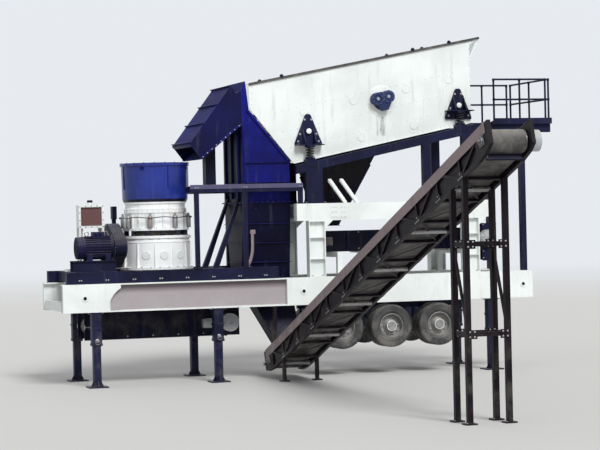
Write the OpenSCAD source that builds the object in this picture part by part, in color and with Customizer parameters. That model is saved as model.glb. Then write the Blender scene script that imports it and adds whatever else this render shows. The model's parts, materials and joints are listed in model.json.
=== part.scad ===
// Portable cone crushing and screening plant on its chassis, standing on its legs, in millimetres.
// X runs along the chassis from the crusher end to the feed end, Y from the near side to the far side, Z up.
// Stations along the chassis are measured from the crusher end of the girders, heights from the ground.

/* [Chassis] */
// Length of the two main girders
girder_len = 11400; // [10800:100:12500]
// Outside width over the two girders
chassis_w = 2500; // [2400:50:2900]
// Height of the girders' underside above the ground
girder_z = 1700; // [1650:10:1900]
// Depth of a girder
girder_d = 640; // [560:10:760]
// Width of a girder's flanges
flange_w = 240; // [200:10:300]
// Thickness of the flanges
flange_t = 30; // [20:1:45]
// Thickness of the web
web_t = 20; // [14:1:40]
// Where the recessed stretch of the web begins
recess_from = 1035; // [800:5:1300]
// Where the recessed stretch ends
recess_to = 5250; // [4900:10:5400]
// Size of the square cross members
cross_w = 200; // [140:10:260]

/* [Legs and running gear] */
// Station of the first pair of legs
leg_x1 = 760; // [500:10:900]
// Station of the middle pair of legs
leg_x2 = 3600; // [3450:10:3700]
// Station of the last pair of legs
leg_x3 = 10350; // [10200:10:10600]
// Size of a leg's square sleeve
sleeve_w = 220; // [180:5:235]
// Wall of the sleeve round the post
sleeve_wall = 25; // [15:1:35]
// Length of the sleeve below the girder
sleeve_len = 760; // [500:10:1100]
// Size of a foot plate
foot_w = 440; // [400:10:520]
// Thickness of a foot plate
foot_t = 30; // [20:1:50]
// Distance between the anchor holes of a foot
foot_pitch = 340; // [320:5:350]
// Diameter of an anchor hole
foot_hole = 28; // [18:1:36]
// Station of the first axle
axle_x = 6600; // [6500:10:6700]
// Distance between axles
axle_pitch = 1200; // [1120:10:1240]
// Outside diameter of a tyre
tyre_d = 1000; // [900:10:1040]
// Width of a tyre
tyre_w = 245; // [200:5:260]
// Diameter of a wheel's rim
rim_d = 570; // [520:10:600]
// Height of the axles above the ground
axle_z = 1140; // [1000:10:1160]
// Diameter of an axle tube
axle_d = 130; // [100:5:150]

/* [Crusher] */
// Station of the crusher's axis
crusher_x = 2460; // [2420:10:2500]
// Height of the dark skid rails on the girders
skid_h = 270; // [220:5:310]
// Width of a skid rail
skid_w = 180; // [150:5:200]
// Diameter of the main frame's foot flange
base_d = 1720; // [1640:10:1800]
// Height of the main frame
base_h = 780; // [740:10:860]
// Gap between the main frame and the adjustment ring, where the springs show
spring_gap = 120; // [90:5:150]
// Outside diameter of the adjustment ring
ring_d = 1450; // [1420:10:1500]
// Height of the adjustment ring
ring_h = 660; // [600:10:720]
// Outside diameter of the feed drum
drum_d = 1568; // [1520:4:1620]
// Height of the feed drum
drum_h = 900; // [800:10:960]
// Wall of the feed drum
drum_wall = 16; // [10:1:30]
// Number of spring packs round the crusher
spring_count = 12; // [8:1:16]
// Number of teeth on the adjustment ring
tooth_count = 36; // [24:1:48]

/* [Belt drive] */
// Diameter of the crusher's drive sheave
sheave_d = 980; // [900:10:1040]
// Diameter of the motor's sheave
pinion_sheave_d = 360; // [300:10:380]
// Width over the sheave grooves
sheave_w = 190; // [150:5:200]
// Number of belts and grooves
groove_count = 6; // [4:1:7]
// Station of the middle of the belt drive
drive_x = 1440; // [1430:5:1445]
// Height of the crusher's drive shaft and of the motor shaft
shaft_z = 3150; // [3130:10:3180]
// Distance from the middle line to the motor shaft, towards the near side
motor_y = 740; // [720:5:760]
// Diameter of the motor's finned body
motor_d = 540; // [480:10:560]
// Length of the motor's finned body
motor_len = 700; // [640:10:720]
// Number of cooling fins round the motor
fin_count = 28; // [16:1:36]
// Gap between the belt guard and what turns inside it
guard_gap = 45; // [30:5:60]

/* [Walkway by the crusher] */
// Height of the walking surface
walk_z = 4480; // [4420:10:4520]
// Where the walkway begins
walk_from = 3300; // [3290:10:3350]
// Where the strip along the chute ends
walk_to = 5690; // [5650:10:5720]
// Depth of the walkway's edge channels
walk_t = 130; // [90:5:150]
// Width of the strip along the chute
walk_w = 380; // [340:10:390]
// Size of the walkway's posts
walk_post = 100; // [70:5:120]

/* [Chute and hood] */
// Station of the chute's wall on the crusher side
chute_from = 4360; // [4355:5:4380]
// Station of the chute's wall on the screen side
chute_to = 5500; // [5490:5:5510]
// Width of the chute across the chassis
chute_w = 1660; // [1600:10:1690]
// Plate thickness of chute and hood
plate = 14; // [8:1:24]
// Height where the chute's walls end and its spout begins
spout_z = 4100; // [4060:10:4140]
// Height of the hood's peak
peak_z = 6920; // [6880:10:6940]
// Station of the hood's tip over the feed drum
tip_x = 3100; // [3080:10:3160]
// Height of the hood's tip
tip_z = 5470; // [5450:10:5490]

/* [Portal frame] */
// Station of the crusher-side columns' middle line
column_x1 = 6010; // [5990:5:6030]
// Station of the feed-side columns' middle line
column_x2 = 9860; // [9800:5:9900]
// Width of a column seen from the side
column_w = 400; // [370:10:430]
// Height of the portal beams' underside
portal_z = 3650; // [3600:10:3700]
// Depth of a portal beam
portal_d = 400; // [340:10:430]
// Station where the portal beams begin
portal_from = 5530; // [5525:5:5540]
// Station where the portal beams end
portal_to = 10400; // [10350:10:10500]

/* [Vibrating screen] */
// Slope of the screen
screen_angle = 11.5; // [11:0.1:12]
// Station of the low corner of the screen's sides
screen_x = 5700; // [5690:5:5715]
// Height of the low corner of the screen's sides
screen_z = 5010; // [5000:5:5040]
// Length of a side along its lower edge
screen_len = 4550; // [4500:10:4600]
// Depth of a side, square to the slope
screen_d = 2050; // [2000:10:2080]
// Width over the two side plates
screen_w = 1800; // [1760:10:1840]
// Thickness of a side plate
side_t = 14; // [10:1:20]
// How far the top of the side reaches past its low corner towards the crusher
nose_len = 780; // [740:10:800]
// Number of decks
deck_count = 3; // [2:1:3]
// Diameter of the cross tubes
tube_d = 150; // [120:5:180]
// Distance along the slope from the low corner to the exciter shaft
exciter_u = 2330; // [2200:10:2500]
// Diameter of an exciter cover lobe
lobe_d = 300; // [260:5:340]
// Distance along the slope to the lower springs
spring_u1 = 245; // [220:5:280]
// Distance from the upper springs to the feed end along the slope
spring_back = 460; // [430:10:550]
// Outside diameter of the screen's coil springs
coil_d = 190; // [160:5:200]
// Diameter of the spring wire
wire_d = 32; // [26:1:38]
// Height of a coil spring as it stands
coil_h = 330; // [300:5:350]
// Number of turns in a coil spring
coil_turns = 5; // [4:1:6]

/* [Sub-frame and platform] */
// Width of the dark sub-frame beams
sub_w = 170; // [140:5:180]
// Depth of the dark sub-frame beams
sub_d = 200; // [160:5:220]
// Gap between the sub-frame beams and the screen's lower edge
sub_gap = 40; // [25:5:60]
// Height of the feed platform's floor
platform_z = 5890; // [5860:10:5920]
// Station where the feed platform begins
platform_from = 10480; // [10460:10:10500]
// Station where the feed platform ends
platform_to = 12000; // [11900:10:12300]
// Height of the handrail above its platform
rail_h = 1050; // [950:10:1150]
// Diameter of handrail tube
rail_d = 48; // [38:1:60]

/* [Belts under the machines] */
// Height of the pulley shafts under the crusher
under_z = 1330; // [1310:5:1345]
// Station of the tail pulley under the crusher
under_from = 900; // [880:10:950]
// Station of the head pulley under the crusher
under_to = 4060; // [4000:10:4090]
// Height of the pulley shafts under the screen
fines_z = 3150; // [3130:5:3180]
// Station of the tail pulley under the screen
fines_from = 6560; // [6520:10:6600]
// Station of the head pulley under the screen
fines_to = 10560; // [10480:10:10640]
// Width of the belts
belt_w = 650; // [600:10:680]
// Thickness of the belts
belt_t = 14; // [10:1:18]
// Diameter of the pulleys
pulley_d = 380; // [340:10:390]
// Diameter of the idler rollers
idler_d = 108; // [89:1:127]

/* [Side conveyor] */
// Station of the side conveyor's middle line
side_x = 5340; // [5330:5:5350]
// Slope of the side conveyor
side_angle = 18.8; // [18:0.1:19]
// Distance between its pulley shafts
side_len = 14150; // [13800:50:14500]
// Distance of its tail shaft from the chassis middle line, towards the near side
side_tail_y = 760; // [740:5:780]
// Height of its tail shaft
side_tail_z = 430; // [420:5:450]
// Width over its side trusses
side_w = 860; // [840:10:880]
// Depth of its side trusses
truss_d = 560; // [520:10:580]
// Size of its truss chords
chord_w = 70; // [50:5:80]
// Number of truss panels
panel_count = 12; // [8:1:14]
// Distance of its trestle from the tail shaft along the slope
trestle_u = 12800; // [12600:50:12950]
// Size of the trestle's posts
trestle_post = 100; // [80:5:120]

/* [Hidden] */
$fn = 64;

white = [0.86, 0.90, 0.87];
navy = [0.05, 0.08, 0.32];
dark = [0.08, 0.08, 0.12];
steel = [0.45, 0.46, 0.48];
black_rubber = [0.10, 0.10, 0.11];
brown = [0.42, 0.20, 0.16];

// Clearance left between curved faces of neighbouring pieces
fit = 0.3;

half_w = chassis_w / 2;
girder_y = half_w - flange_w / 2;
girder_top = girder_z + girder_d;
cross_z = girder_z + flange_t;
deck_z = girder_top + skid_h;
post_w = sleeve_w - 2 * sleeve_wall;

base_top = deck_z + base_h;
ring_z = base_top + spring_gap;
drum_z = ring_z + ring_h;
base_wall_r = base_d / 2 - 70;

// The screen's slope: place and height of a point u along it and w square to it
sc = cos(screen_angle);
ss = sin(screen_angle);
st = tan(screen_angle);
function slope_x(u, w) = screen_x + u * sc - w * ss;
function slope_z(u, w) = screen_z + u * ss + w * sc;
screen_in = screen_w / 2 - side_t;
spring_u2 = screen_len - spring_back;
spring_y = screen_w / 2 + 150;

// Sub-frame beams: their height over the ground at a station, and where they turn level
function sub_top(x) = screen_z + (x - screen_x) * st - sub_gap / sc;
function sub_under(x) = sub_top(x) - sub_d / sc;
floor_t = 40;
level_top = platform_z - floor_t;
bend_x = screen_x + (level_top - screen_z + sub_gap / sc) / st;

// Lower edge of the belt frame under the screen, below its pulley shafts
fines_low = -250;

// The side conveyor's slope
cc = cos(side_angle);
cs = sin(side_angle);
truss_top = pulley_d / 2 + belt_t + 70;
truss_low = truss_top - truss_d;
head_reach = 330;
tail_reach = 330;
end_low = -160;

// The origin is the middle of the plant's box, on the ground
x_mid = platform_to / 2;
y_far = girder_y + foot_w / 2;
y_near = side_tail_y + (side_len + head_reach) * cc - end_low * cs;
y_mid = (y_far - y_near) / 2;

// Places the plant's own stations in the part's frame
module plant() {
    translate([-x_mid, -y_mid, 0]) children();
}

// A block from one corner to the opposite one
module block(low, high) {
    translate(low) cube(high - low);
}

// A flat shape drawn in X and Z, carried along Y between two places
module side_profile(y0, y1) {
    translate([0, y1, 0]) rotate([90, 0, 0]) linear_extrude(y1 - y0) children();
}

// A round bar along Y
module bar_y(d, y0, y1) {
    translate([0, y1, 0]) rotate([90, 0, 0]) cylinder(d = d, h = y1 - y0);
}

// A round bar along X
module bar_x(d, x0, x1) {
    translate([x0, 0, 0]) rotate([0, 90, 0]) cylinder(d = d, h = x1 - x0);
}

// Copies on the near and the far side
module both_sides() {
    children();
    mirror([0, 1, 0]) children();
}

// Puts children in the screen's sloping frame, with X up the slope and Z square to it
module on_slope(u = 0, w = 0) {
    translate([screen_x, 0, screen_z]) rotate([0, -screen_angle, 0]) translate([u, 0, w]) children();
}

// Puts children in the side conveyor's frame: X up the belt, Y across it, Z square to the belt
module on_side_conveyor() {
    translate([side_x, -side_tail_y, side_tail_z])
        rotate([0, 0, -90]) rotate([0, -side_angle, 0]) children();
}

// The chassis

// The near girder: flanges, recessed web, boxed ends with a round inner edge, stiffeners on the hidden side
module girder() {
    y0 = -half_w;
    y1 = -half_w + flange_w;
    web0 = -girder_y - web_t / 2;
    web1 = -girder_y + web_t / 2;
    z0 = girder_z + flange_t;
    z1 = girder_top - flange_t;
    round_r = z1 - z0;
    block([0, y0, girder_z], [girder_len, y1, z0]);
    block([0, y0, z1], [girder_len, y1, girder_top]);
    block([0, web0, z0], [girder_len, web1, z1]);
    difference() {
        block([0, y0, z0], [recess_from + round_r / 2, web0, z1]);
        translate([recess_from + round_r, 0, z0]) bar_y(2 * round_r, y0 - 1, web0 + 1);
    }
    block([recess_to, y0, z0], [girder_len, web0, z1]);
    for (x = [recess_from, crusher_x, recess_to, (recess_to + girder_len) / 2, girder_len - 2 * web_t])
        block([x, web1, z0], [x + web_t, y1, z1]);
}

module girder_near() plant() color(white) girder();

module girder_far() plant() color(white) mirror([0, 1, 0]) girder();

// Box members between the webs, resting on the lower flanges
module cross_members() plant() color(white) {
    y = half_w - flange_w;
    for (x = [0, crusher_x - 1000, crusher_x + 640, chute_from - 360, column_x1, axle_stations[2] - 600, column_x2, girder_len - cross_w])
        block([x, -y, cross_z], [x + cross_w, y, cross_z + cross_w]);
}

leg_stations = [leg_x1, leg_x2, leg_x3];

// Square sleeves under the girders, with the posts that slide in them and their gussets on the feet
module support_legs() plant() color(dark) both_sides() for (x = leg_stations) translate([x, -girder_y, 0]) {
    gusset = foot_w / 2 - post_w / 2 - 70;
    block([-sleeve_w / 2, -sleeve_w / 2, girder_z - sleeve_len], [sleeve_w / 2, sleeve_w / 2, girder_z]);
    block([-post_w / 2, -post_w / 2, foot_t], [post_w / 2, post_w / 2, girder_z - sleeve_len]);
    for (a = [0:90:270]) rotate(a) translate([post_w / 2, 0, foot_t])
        side_profile(-10, 10) polygon([[0, 0], [gusset, 0], [0, 2 * gusset]]);
}

// Foot plates with four anchor holes each
module leg_feet() plant() color(dark) both_sides() for (x = leg_stations)
    translate([x, -girder_y, 0]) difference() {
        block([-foot_w / 2, -foot_w / 2, 0], [foot_w / 2, foot_w / 2, foot_t]);
        for (i = [-1, 1], j = [-1, 1]) translate([i * foot_pitch / 2, j * foot_pitch / 2, -1])
            cylinder(d = foot_hole, h = foot_t + 2);
    }

axle_stations = [for (i = [0:2]) axle_x + i * axle_pitch];
tyre_gap = 40;
tyre_out = half_w - 15;
tyre_in = tyre_out - tyre_w - tyre_gap;
hub_in = tyre_in - tyre_w - 20;
rail_y = hub_in - 190;

// Hanger rails under the cross members, their hangers, and the axle tubes that pass through them
module axle_group() plant() color(dark) {
    rail_h0 = cross_z - 190;
    for (x = axle_stations) translate([x, 0, axle_z]) bar_y(axle_d, -hub_in, hub_in);
    both_sides() {
        difference() {
            union() {
                block([column_x1, -rail_y - 60, rail_h0], [column_x2 + cross_w, -rail_y + 60, cross_z]);
                for (x = axle_stations) side_profile(-rail_y - 40, -rail_y + 40) polygon([
                    [x - 270, rail_h0], [x + 270, rail_h0], [x + 110, axle_z - 60], [x + 60, axle_z - 110],
                    [x - 60, axle_z - 110], [x - 110, axle_z - 60]
                ]);
            }
            for (x = axle_stations) translate([x, 0, axle_z])
                bar_y(axle_d + 2 * fit, -rail_y - 61, -rail_y + 61);
        }
    }
}

// One tyre with its axis along Y, with rounded shoulders and a tread groove on each side
module tyre() {
    r = tyre_d / 2;
    rim = rim_d / 2 + fit;
    b = 45;
    groove = 14;
    rotate([90, 0, 0]) rotate_extrude() difference() {
        polygon(concat(
            [[rim, 25], [rim + 50, 0]],
            [for (a = [90:-18:0]) [r - b + b * cos(a), b - b * sin(a)]],
            [for (a = [0:18:90]) [r - b + b * cos(a), tyre_w - b + b * sin(a)]],
            [[rim + 50, tyre_w], [rim, tyre_w - 25]]
        ));
        for (y = [0.3, 0.5, 0.7]) translate([r - groove, y * tyre_w - groove / 2]) square([groove + 1, groove]);
    }
}

module tyres() plant() color(black_rubber) both_sides() for (x = axle_stations, y = [tyre_out, tyre_in])
    translate([x, -y + tyre_w, axle_z]) tyre();

// Rims with their discs and hubs, one turned piece for the two tyres of an axle end
module wheel_rims() plant() color(steel) both_sides() for (x = axle_stations)
    translate([x, -hub_in, axle_z]) rotate([90, 0, 0]) rotate_extrude() {
        r = rim_d / 2;
        out = tyre_out - hub_in;
        polygon([
            [0, 0], [120, 0], [150, 60], [150, out - 190], [r - 14, out - 190], [r - 14, 30], [r, 20],
            [r, out - 20], [r - 14, out - 12], [r - 14, out - 165], [170, out - 165], [110, out - 90],
            [110, out - 20], [90, out], [0, out]
        ]);
    }

// The crusher and its drive

module skid_rails() plant() color(dark) both_sides()
    block([100, -half_w + 20, girder_top], [chute_from + 700, -half_w + 20 + skid_w, deck_z]);

// Station and width of the cross beam that carries the chute's braces
brace_foot = chute_from - 680;
brace_w = 150;

// Cross beams between the skid rails, under the crusher's foot, the guard, the motor base and the chute's braces
module skid_crossbeams() plant() color(dark) {
    y = half_w - 20 - skid_w;
    guard_x = drive_x - sheave_w / 2 - guard_gap - 6;
    for (x = [320, guard_x - 150, crusher_x - 700, crusher_x + 500])
        block([x, -y, girder_top + 30], [x + 150, y, deck_z]);
    block([guard_right + 20, 300, girder_top + 30], [guard_right + 120, y, deck_z]);
    block([brace_foot, -y, girder_top + 30], [brace_foot + brace_w, y, deck_z]);
}

// Main frame: foot flange, waisted wall, top flange and a shallow dish, with gussets all round
module crusher_frame() plant() color(white) translate([crusher_x, 0, deck_z]) {
    foot_r = base_d / 2;
    wall_r = base_wall_r;
    top_r = wall_r + 20;
    rotate_extrude() polygon([
        [0, 0], [foot_r, 0], [foot_r, 45], [wall_r, 45], [wall_r, base_h - 150], [top_r - 40, base_h - 60],
        [top_r, base_h - 60], [top_r, base_h], [660, base_h], [640, base_h - 90], [0, base_h - 90]
    ]);
    for (i = [0:11]) rotate(15 + 30 * i) translate([wall_r, 0, 45])
        side_profile(-9, 9) polygon([
            [-40, -20], [foot_r - wall_r - 12, -20], [foot_r - wall_r - 12, 10], [34, 260], [24, base_h - 215],
            [-40, base_h - 215]
        ]);
}

housing_x = drive_x + sheave_w / 2 + 70;

// Horizontal housing of the drive shaft, scribed to the main frame's wall
module pinion_housing() plant() color(white) translate([0, 0, shaft_z]) difference() {
    union() {
        bar_x(400, housing_x, crusher_x - base_wall_r + 120);
        bar_x(480, housing_x, housing_x + 35);
    }
    translate([crusher_x, 0, -300]) cylinder(r = base_wall_r + fit, h = 600);
    for (i = [0:11]) translate([crusher_x, 0, deck_z - shaft_z + 45]) rotate(15 + 30 * i)
        block([base_wall_r - 10, -10, 0], [base_d / 2, 10, base_h]);
}

// Spring packs in the gap between the main frame and the adjustment ring
module spring_packs() plant() color(dark) for (i = [0:spring_count - 1])
    translate([crusher_x, 0, base_top]) rotate(360 * i / spring_count) translate([ring_d / 2 - 20, 0, 0])
        rotate_extrude($fn = 32) polygon(concat(
            [[0, 0], [62, 0]],
            [for (k = [0:3], s = [0:1]) [s == 0 ? 62 : 48, (k + 0.25 + 0.5 * s) * spring_gap / 4]],
            [[62, spring_gap], [0, spring_gap]]
        ));

// Toothed adjustment ring with its flanges, the crushing bowl inside and four clamping cylinders' seats
module adjustment_ring() plant() color(white) translate([crusher_x, 0, ring_z]) {
    r = ring_d / 2;
    band_z = ring_h * 0.62;
    band_h = 90;
    difference() {
        rotate_extrude() polygon([
            [548, 0], [r + 45, 0], [r + 45, 50], [r - 20, 50], [r - 20, band_z - 30], [r, band_z],
            [r, band_z + band_h], [r - 30, band_z + band_h + 20], [r - 30, ring_h - 40], [r, ring_h - 40],
            [r, ring_h], [610, ring_h], [430, 300], [435, 240]
        ]);
        for (i = [0:tooth_count - 1]) rotate(360 * i / tooth_count)
            block([r - 16, -22, band_z + 12], [r + 30, 22, band_z + band_h - 12]);
    }
}

// Mantle on the crusher's head, with the feed plate on its nut
module crushing_head() plant() color(steel) translate([crusher_x, 0, ring_z]) rotate_extrude()
    polygon([
        [0, -spring_gap - 90], [560, -spring_gap - 90], [600, -spring_gap - 30], [508, 0], [320, 300],
        [255, 420], [240, 470], [300, 490], [300, 515], [90, 540], [0, 540]
    ]);

// Feed drum: rolled plate with a rim ring, a waist ring and an inner floor ring on the adjustment ring
module feed_drum() plant() color(navy) translate([crusher_x, 0, drum_z]) {
    r = drum_d / 2;
    rotate_extrude() polygon([
        [600, 0], [ring_d / 2 + 10, 0], [r - 24, 60], [r - 8, drum_h - 70], [r + 22, drum_h - 70],
        [r + 22, drum_h], [r - 8 - drum_wall, drum_h], [r - 24 - drum_wall, 70], [ring_d / 2 - 20, 22],
        [600, 22]
    ]);
}

// A sheave turned about X, with V grooves in its rim and a thin web
module sheave(d) {
    r = d / 2;
    w = sheave_w;
    pitch = (w - 16) / groove_count;
    rotate([0, 90, 0]) translate([0, 0, -w / 2]) rotate_extrude() polygon(concat(
        [[0, 0], [90, 0], [90, w / 2 - 20], [r - 60, w / 2 - 20], [r - 60, 0], [r, 0]],
        [for (i = [0:groove_count - 1], s = [0:3])
            [s == 0 || s == 3 ? r : r - 22, 8 + pitch * i + pitch * [0.1, 0.36, 0.64, 0.9][s]]],
        [[r, w], [r - 60, w], [r - 60, w / 2 + 20], [90, w / 2 + 20], [90, w], [0, w]]
    ));
}

guard_left = drive_x - sheave_w / 2 - guard_gap;
guard_right = drive_x + sheave_w / 2 + 30;
motor_face = guard_left - 50;

// Both sheaves on their shaft ends
module drive_sheaves() plant() color(steel) {
    translate([0, 0, shaft_z]) {
        translate([drive_x, 0, 0]) sheave(sheave_d);
        bar_x(120, drive_x + sheave_w / 2, housing_x);
    }
    translate([0, -motor_y, shaft_z]) {
        translate([drive_x, 0, 0]) sheave(pinion_sheave_d);
        bar_x(90, motor_face, drive_x - sheave_w / 2);
    }
}

// Outline round two circles on the line between the shafts: both round ends and the tangents between them
module drive_outline(r1, r2) {
    lean = asin((r1 - r2) / motor_y);
    polygon(concat(
        [for (i = [-24:24]) r1 * [cos(i / 24 * (90 + lean)), sin(i / 24 * (90 + lean))]],
        [for (i = [-12:12]) [-motor_y, 0] + r2 * [-cos(i / 12 * (90 - lean)), -sin(i / 12 * (90 - lean))]]
    ));
}

// Carries an outline drawn in Y and Z along X between two places
module drive_plate(x0, x1) {
    translate([x0, 0, shaft_z]) rotate([90, 0, 90]) linear_extrude(x1 - x0) children();
}

// Matched set of V-belts, as one loop with grooves between the belts on its back
module drive_belts() plant() color(black_rubber) {
    r1 = sheave_d / 2 + fit;
    r2 = pinion_sheave_d / 2 + fit;
    w = sheave_w - 16;
    drive_plate(drive_x - w / 2, drive_x + w / 2) difference() {
        drive_outline(r1 + 9, r2 + 9);
        drive_outline(r1, r2);
    }
}

// Belt guard: a rim band and an outer plate, open towards the crusher, with an opening for the motor shaft
module belt_guard() plant() color(dark) {
    r1 = sheave_d / 2 + guard_gap;
    r2 = pinion_sheave_d / 2 + guard_gap;
    drive_plate(guard_left, guard_right) difference() {
        drive_outline(r1 + 6, r2 + 6);
        drive_outline(r1, r2);
    }
    drive_plate(guard_left - 6, guard_left) difference() {
        drive_outline(r1 + 6, r2 + 6);
        translate([-motor_y, 0]) circle(r = 110);
    }
}

// Finned motor with its end shields, fan cowl, terminal box and feet
module drive_motor() plant() color(navy) translate([motor_face - motor_len, -motor_y, shaft_z]) {
    core_r = motor_d / 2 - 30;
    bar_x(2 * core_r, 30, motor_len - 30);
    bar_x(motor_d - 20, 0, 30);
    bar_x(motor_d - 20, motor_len - 30, motor_len);
    bar_x(motor_d - 40, -130, 0);
    for (i = [0:fin_count - 1]) rotate([360 / fin_count * (i + 0.5), 0, 0])
        block([60, -3, core_r - 5], [motor_len - 60, 3, motor_d / 2]);
    block([motor_len * 0.35, -130, core_r - 20], [motor_len * 0.72, 130, motor_d / 2 + 90]);
    for (y = [-1, 1], x = [80, motor_len - 200])
        block([x, y * 210 - 45, -motor_d / 2 - 20], [x + 120, y * 210 + 45, -core_r * 0.6]);
}

// Slide rails for the motor, standing on the skid's cross beams
module motor_base() plant() color(dark) for (y = [-1, 1])
    translate([0, -motor_y + y * 210, 0]) {
        x1 = guard_left - 10;
        z1 = shaft_z - motor_d / 2 - 20;
        block([320, -60, deck_z], [x1, 60, deck_z + 20]);
        block([320, -8, deck_z + 20], [x1, 8, z1 - 20]);
        block([320, -60, z1 - 20], [x1, 60, z1]);
    }

cooler_z = 3600;
cooler_x = 620;
cooler_w = 590;
cooler_d = 300;
cooler_h = 530;

// Oil cooler: finned core between its two tanks, with a filler cap
module oil_cooler() plant() color(brown) translate([cooler_x, -cooler_d / 2, cooler_z]) {
    block([50, 60, 50], [cooler_w - 50, cooler_d - 60, cooler_h - 50]);
    for (i = [0:9]) block([50, 45, 62 + i * 42], [cooler_w - 50, cooler_d - 45, 80 + i * 42]);
}

// White frame round the cooler, on its four legs
module cooler_stand() plant() color(white) translate([cooler_x, -cooler_d / 2, 0]) {
    for (x = [0, cooler_w - 50]) block([x, 0, cooler_z], [x + 50, cooler_d, cooler_z + cooler_h]);
    for (z = [cooler_z, cooler_z + cooler_h - 50]) block([0, 0, z], [cooler_w, cooler_d, z + 50]);
    for (x = [0, cooler_w - 50], y = [0, cooler_d - 50])
        block([x, y, deck_z], [x + 50, y + 50, cooler_z]);
    block([0, 0, cooler_z - 390], [cooler_w, cooler_d, cooler_z - 310]);
    translate([cooler_w / 2, cooler_d / 2, cooler_z + cooler_h]) cylinder(d = 110, h = 60, $fn = 32);
    for (x = [-cooler_x + 320, guard_left - 156 - cooler_x])
        block([min(x, 0), 0, deck_z], [max(x + 10, cooler_w), cooler_d, deck_z + 60]);
}

// The walkway between the crusher and the chute

// Where its near strip begins, beside the feed drum
arm_from = walk_from - 310;

// Where its short far strip ends, beside the chute
far_to = chute_from + 240;

module walkway_deck() plant() color(dark) {
    x1 = chute_from - 12;
    y = half_w - 10;
    ys = -half_w + 10 + walk_w;
    block([walk_from, -y, walk_z - 30], [x1, y, walk_z]);
    block([arm_from, -y, walk_z - walk_t], [walk_from, ys, walk_z]);
    for (x = [walk_from, x1 - 50]) block([x, -y, walk_z - walk_t], [x + 50, y, walk_z - 30]);
    for (s = [-1, 0, 1]) block([walk_from, s * (y - 25) - 25, walk_z - walk_t], [x1, s * (y - 25) + 25, walk_z - 30]);
    block([x1, -ys, walk_z - walk_t], [far_to, y, walk_z]);
    difference() {
        block([x1, -y, walk_z - walk_t], [walk_to, ys, walk_z]);
        block([chute_from + 44, -y + 50, walk_z - walk_t - 1], [walk_to - 50, ys - 50, walk_z - 30]);
    }
}

// The hood's prop, along X
prop_from = chute_from - 700;
prop_to = chute_from - 460;

// Posts under the walkway, on the skid rails and the portal beam, the hood's prop and the chute's braces
module walkway_posts() plant() color(dark) {
    x1 = chute_from - 12 - walk_post;
    z1 = walk_z - walk_t;
    y0 = -half_w + 20;
    for (x = [arm_from + 110, x1]) block([x, y0, deck_z], [x + walk_post, y0 + walk_post, z1]);
    for (x = [walk_from, far_to - 20 - walk_post])
        block([x, -y0 - walk_post, deck_z], [x + walk_post, -y0, z1]);
    block([walk_to - walk_post, y0, portal_z + portal_d], [walk_to, y0 + walk_post, z1]);
    block([guard_right + 20, 690, deck_z], [guard_right + 110, 780, z1 - 560]);
    block([guard_right + 10, 640, z1 - 560], [guard_right + 120, 830, z1 - 260]);
    side_profile(-150, 150) polygon([
        [prop_from, walk_z], [prop_to, walk_z], [prop_to, hood_floor(prop_to)], [prop_from, hood_floor(prop_from)]
    ]);
    both_sides() side_profile(-550, -430) polygon([
        [brace_foot + 10, deck_z], [brace_foot + brace_w - 10, deck_z], [chute_from, spout_z + 20],
        [chute_from, spout_z + 190]
    ]);
}

// The chute and its hood

// The hood's lower lip, its floor's height at the chute, the sheet, and the corners of its roof
lip_x = tip_x + 280;
lip_z = tip_z - 350;
join_z = spout_z + 1805;
hood_t = 18;
chute_top = peak_z - 220;
ridge = [chute_from - 230, peak_z - 90];
notch = [chute_from - 130, peak_z - 280];

// Underside of the hood's floor at a station
function hood_floor(x) = lip_z + (x - lip_x) * (join_z - lip_z) / (chute_from - lip_x);

// The chute's slanting edge along the screen's discharge end: its lower, middle and upper corners
edge_low = [chute_to, screen_z + 40];
edge_mid = [slope_x(-nose_len, screen_d * 0.74) - 90, slope_z(-nose_len, screen_d * 0.74) - 100];
edge_top = [slope_x(-nose_len, screen_d) - 60, peak_z];

// Side walls of the chute, with an angle along the slanting edge and an upright stiffener
module chute_sides() plant() color(navy) both_sides() {
    y = -chute_w / 2;
    side_profile(y, y + plate) polygon([
        [chute_from, spout_z], [chute_to, spout_z], edge_low, edge_mid, edge_top, [chute_from, chute_top]
    ]);
    side_profile(y - 40, y) polygon([edge_low, edge_low - [60, -10], edge_mid - [60, 10], edge_mid]);
    block([chute_from + 20, y - 25, spout_z + 20], [chute_from + 60, y, join_z + 500]);
}

// End walls between the side walls, with the chute's top plate
module chute_ends() plant() color(navy) {
    y = chute_w / 2 - plate;
    block([chute_from, -y, spout_z], [chute_from + plate, y, join_z + hood_t]);
    block([chute_to - plate, -y, spout_z], [chute_to, y, screen_z + 40]);
}

// A four-sided tapering shell between an upper and a lower rectangle, open at both ends
module funnel(top_low, top_high, z1, low_low, low_high, z0) {
    difference() {
        hull() {
            block([top_low[0], top_low[1], z1 - 1], [top_high[0], top_high[1], z1]);
            block([low_low[0], low_low[1], z0], [low_high[0], low_high[1], z0 + 1]);
        }
        hull() {
            block([top_low[0] + plate, top_low[1] + plate, z1], [top_high[0] - plate, top_high[1] - plate, z1 + 1]);
            block([low_low[0] + plate, low_low[1] + plate, z0 - 1], [low_high[0] - plate, low_high[1] - plate, z0]);
        }
    }
}

// Spout under the chute: down between the girders, then forward to the side conveyor's tail
boot_y = half_w - flange_w - 20;
boot_z = side_tail_z + (boot_y - side_tail_y) * tan(side_angle) + (pulley_d / 2 + belt_t) / cc + 60;
module chute_spout() plant() color(navy) {
    funnel([chute_from, -chute_w / 2], [chute_to, chute_w / 2], spout_z,
        [chute_from + 20, -450], [chute_to + 60, 450], girder_top);
    funnel([chute_from + 20, -450], [chute_to + 60, 450], girder_top,
        [side_x - belt_w / 2 + 30, -boot_y], [side_x + belt_w / 2 - 30, -boot_y + 420], boot_z);
}

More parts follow.
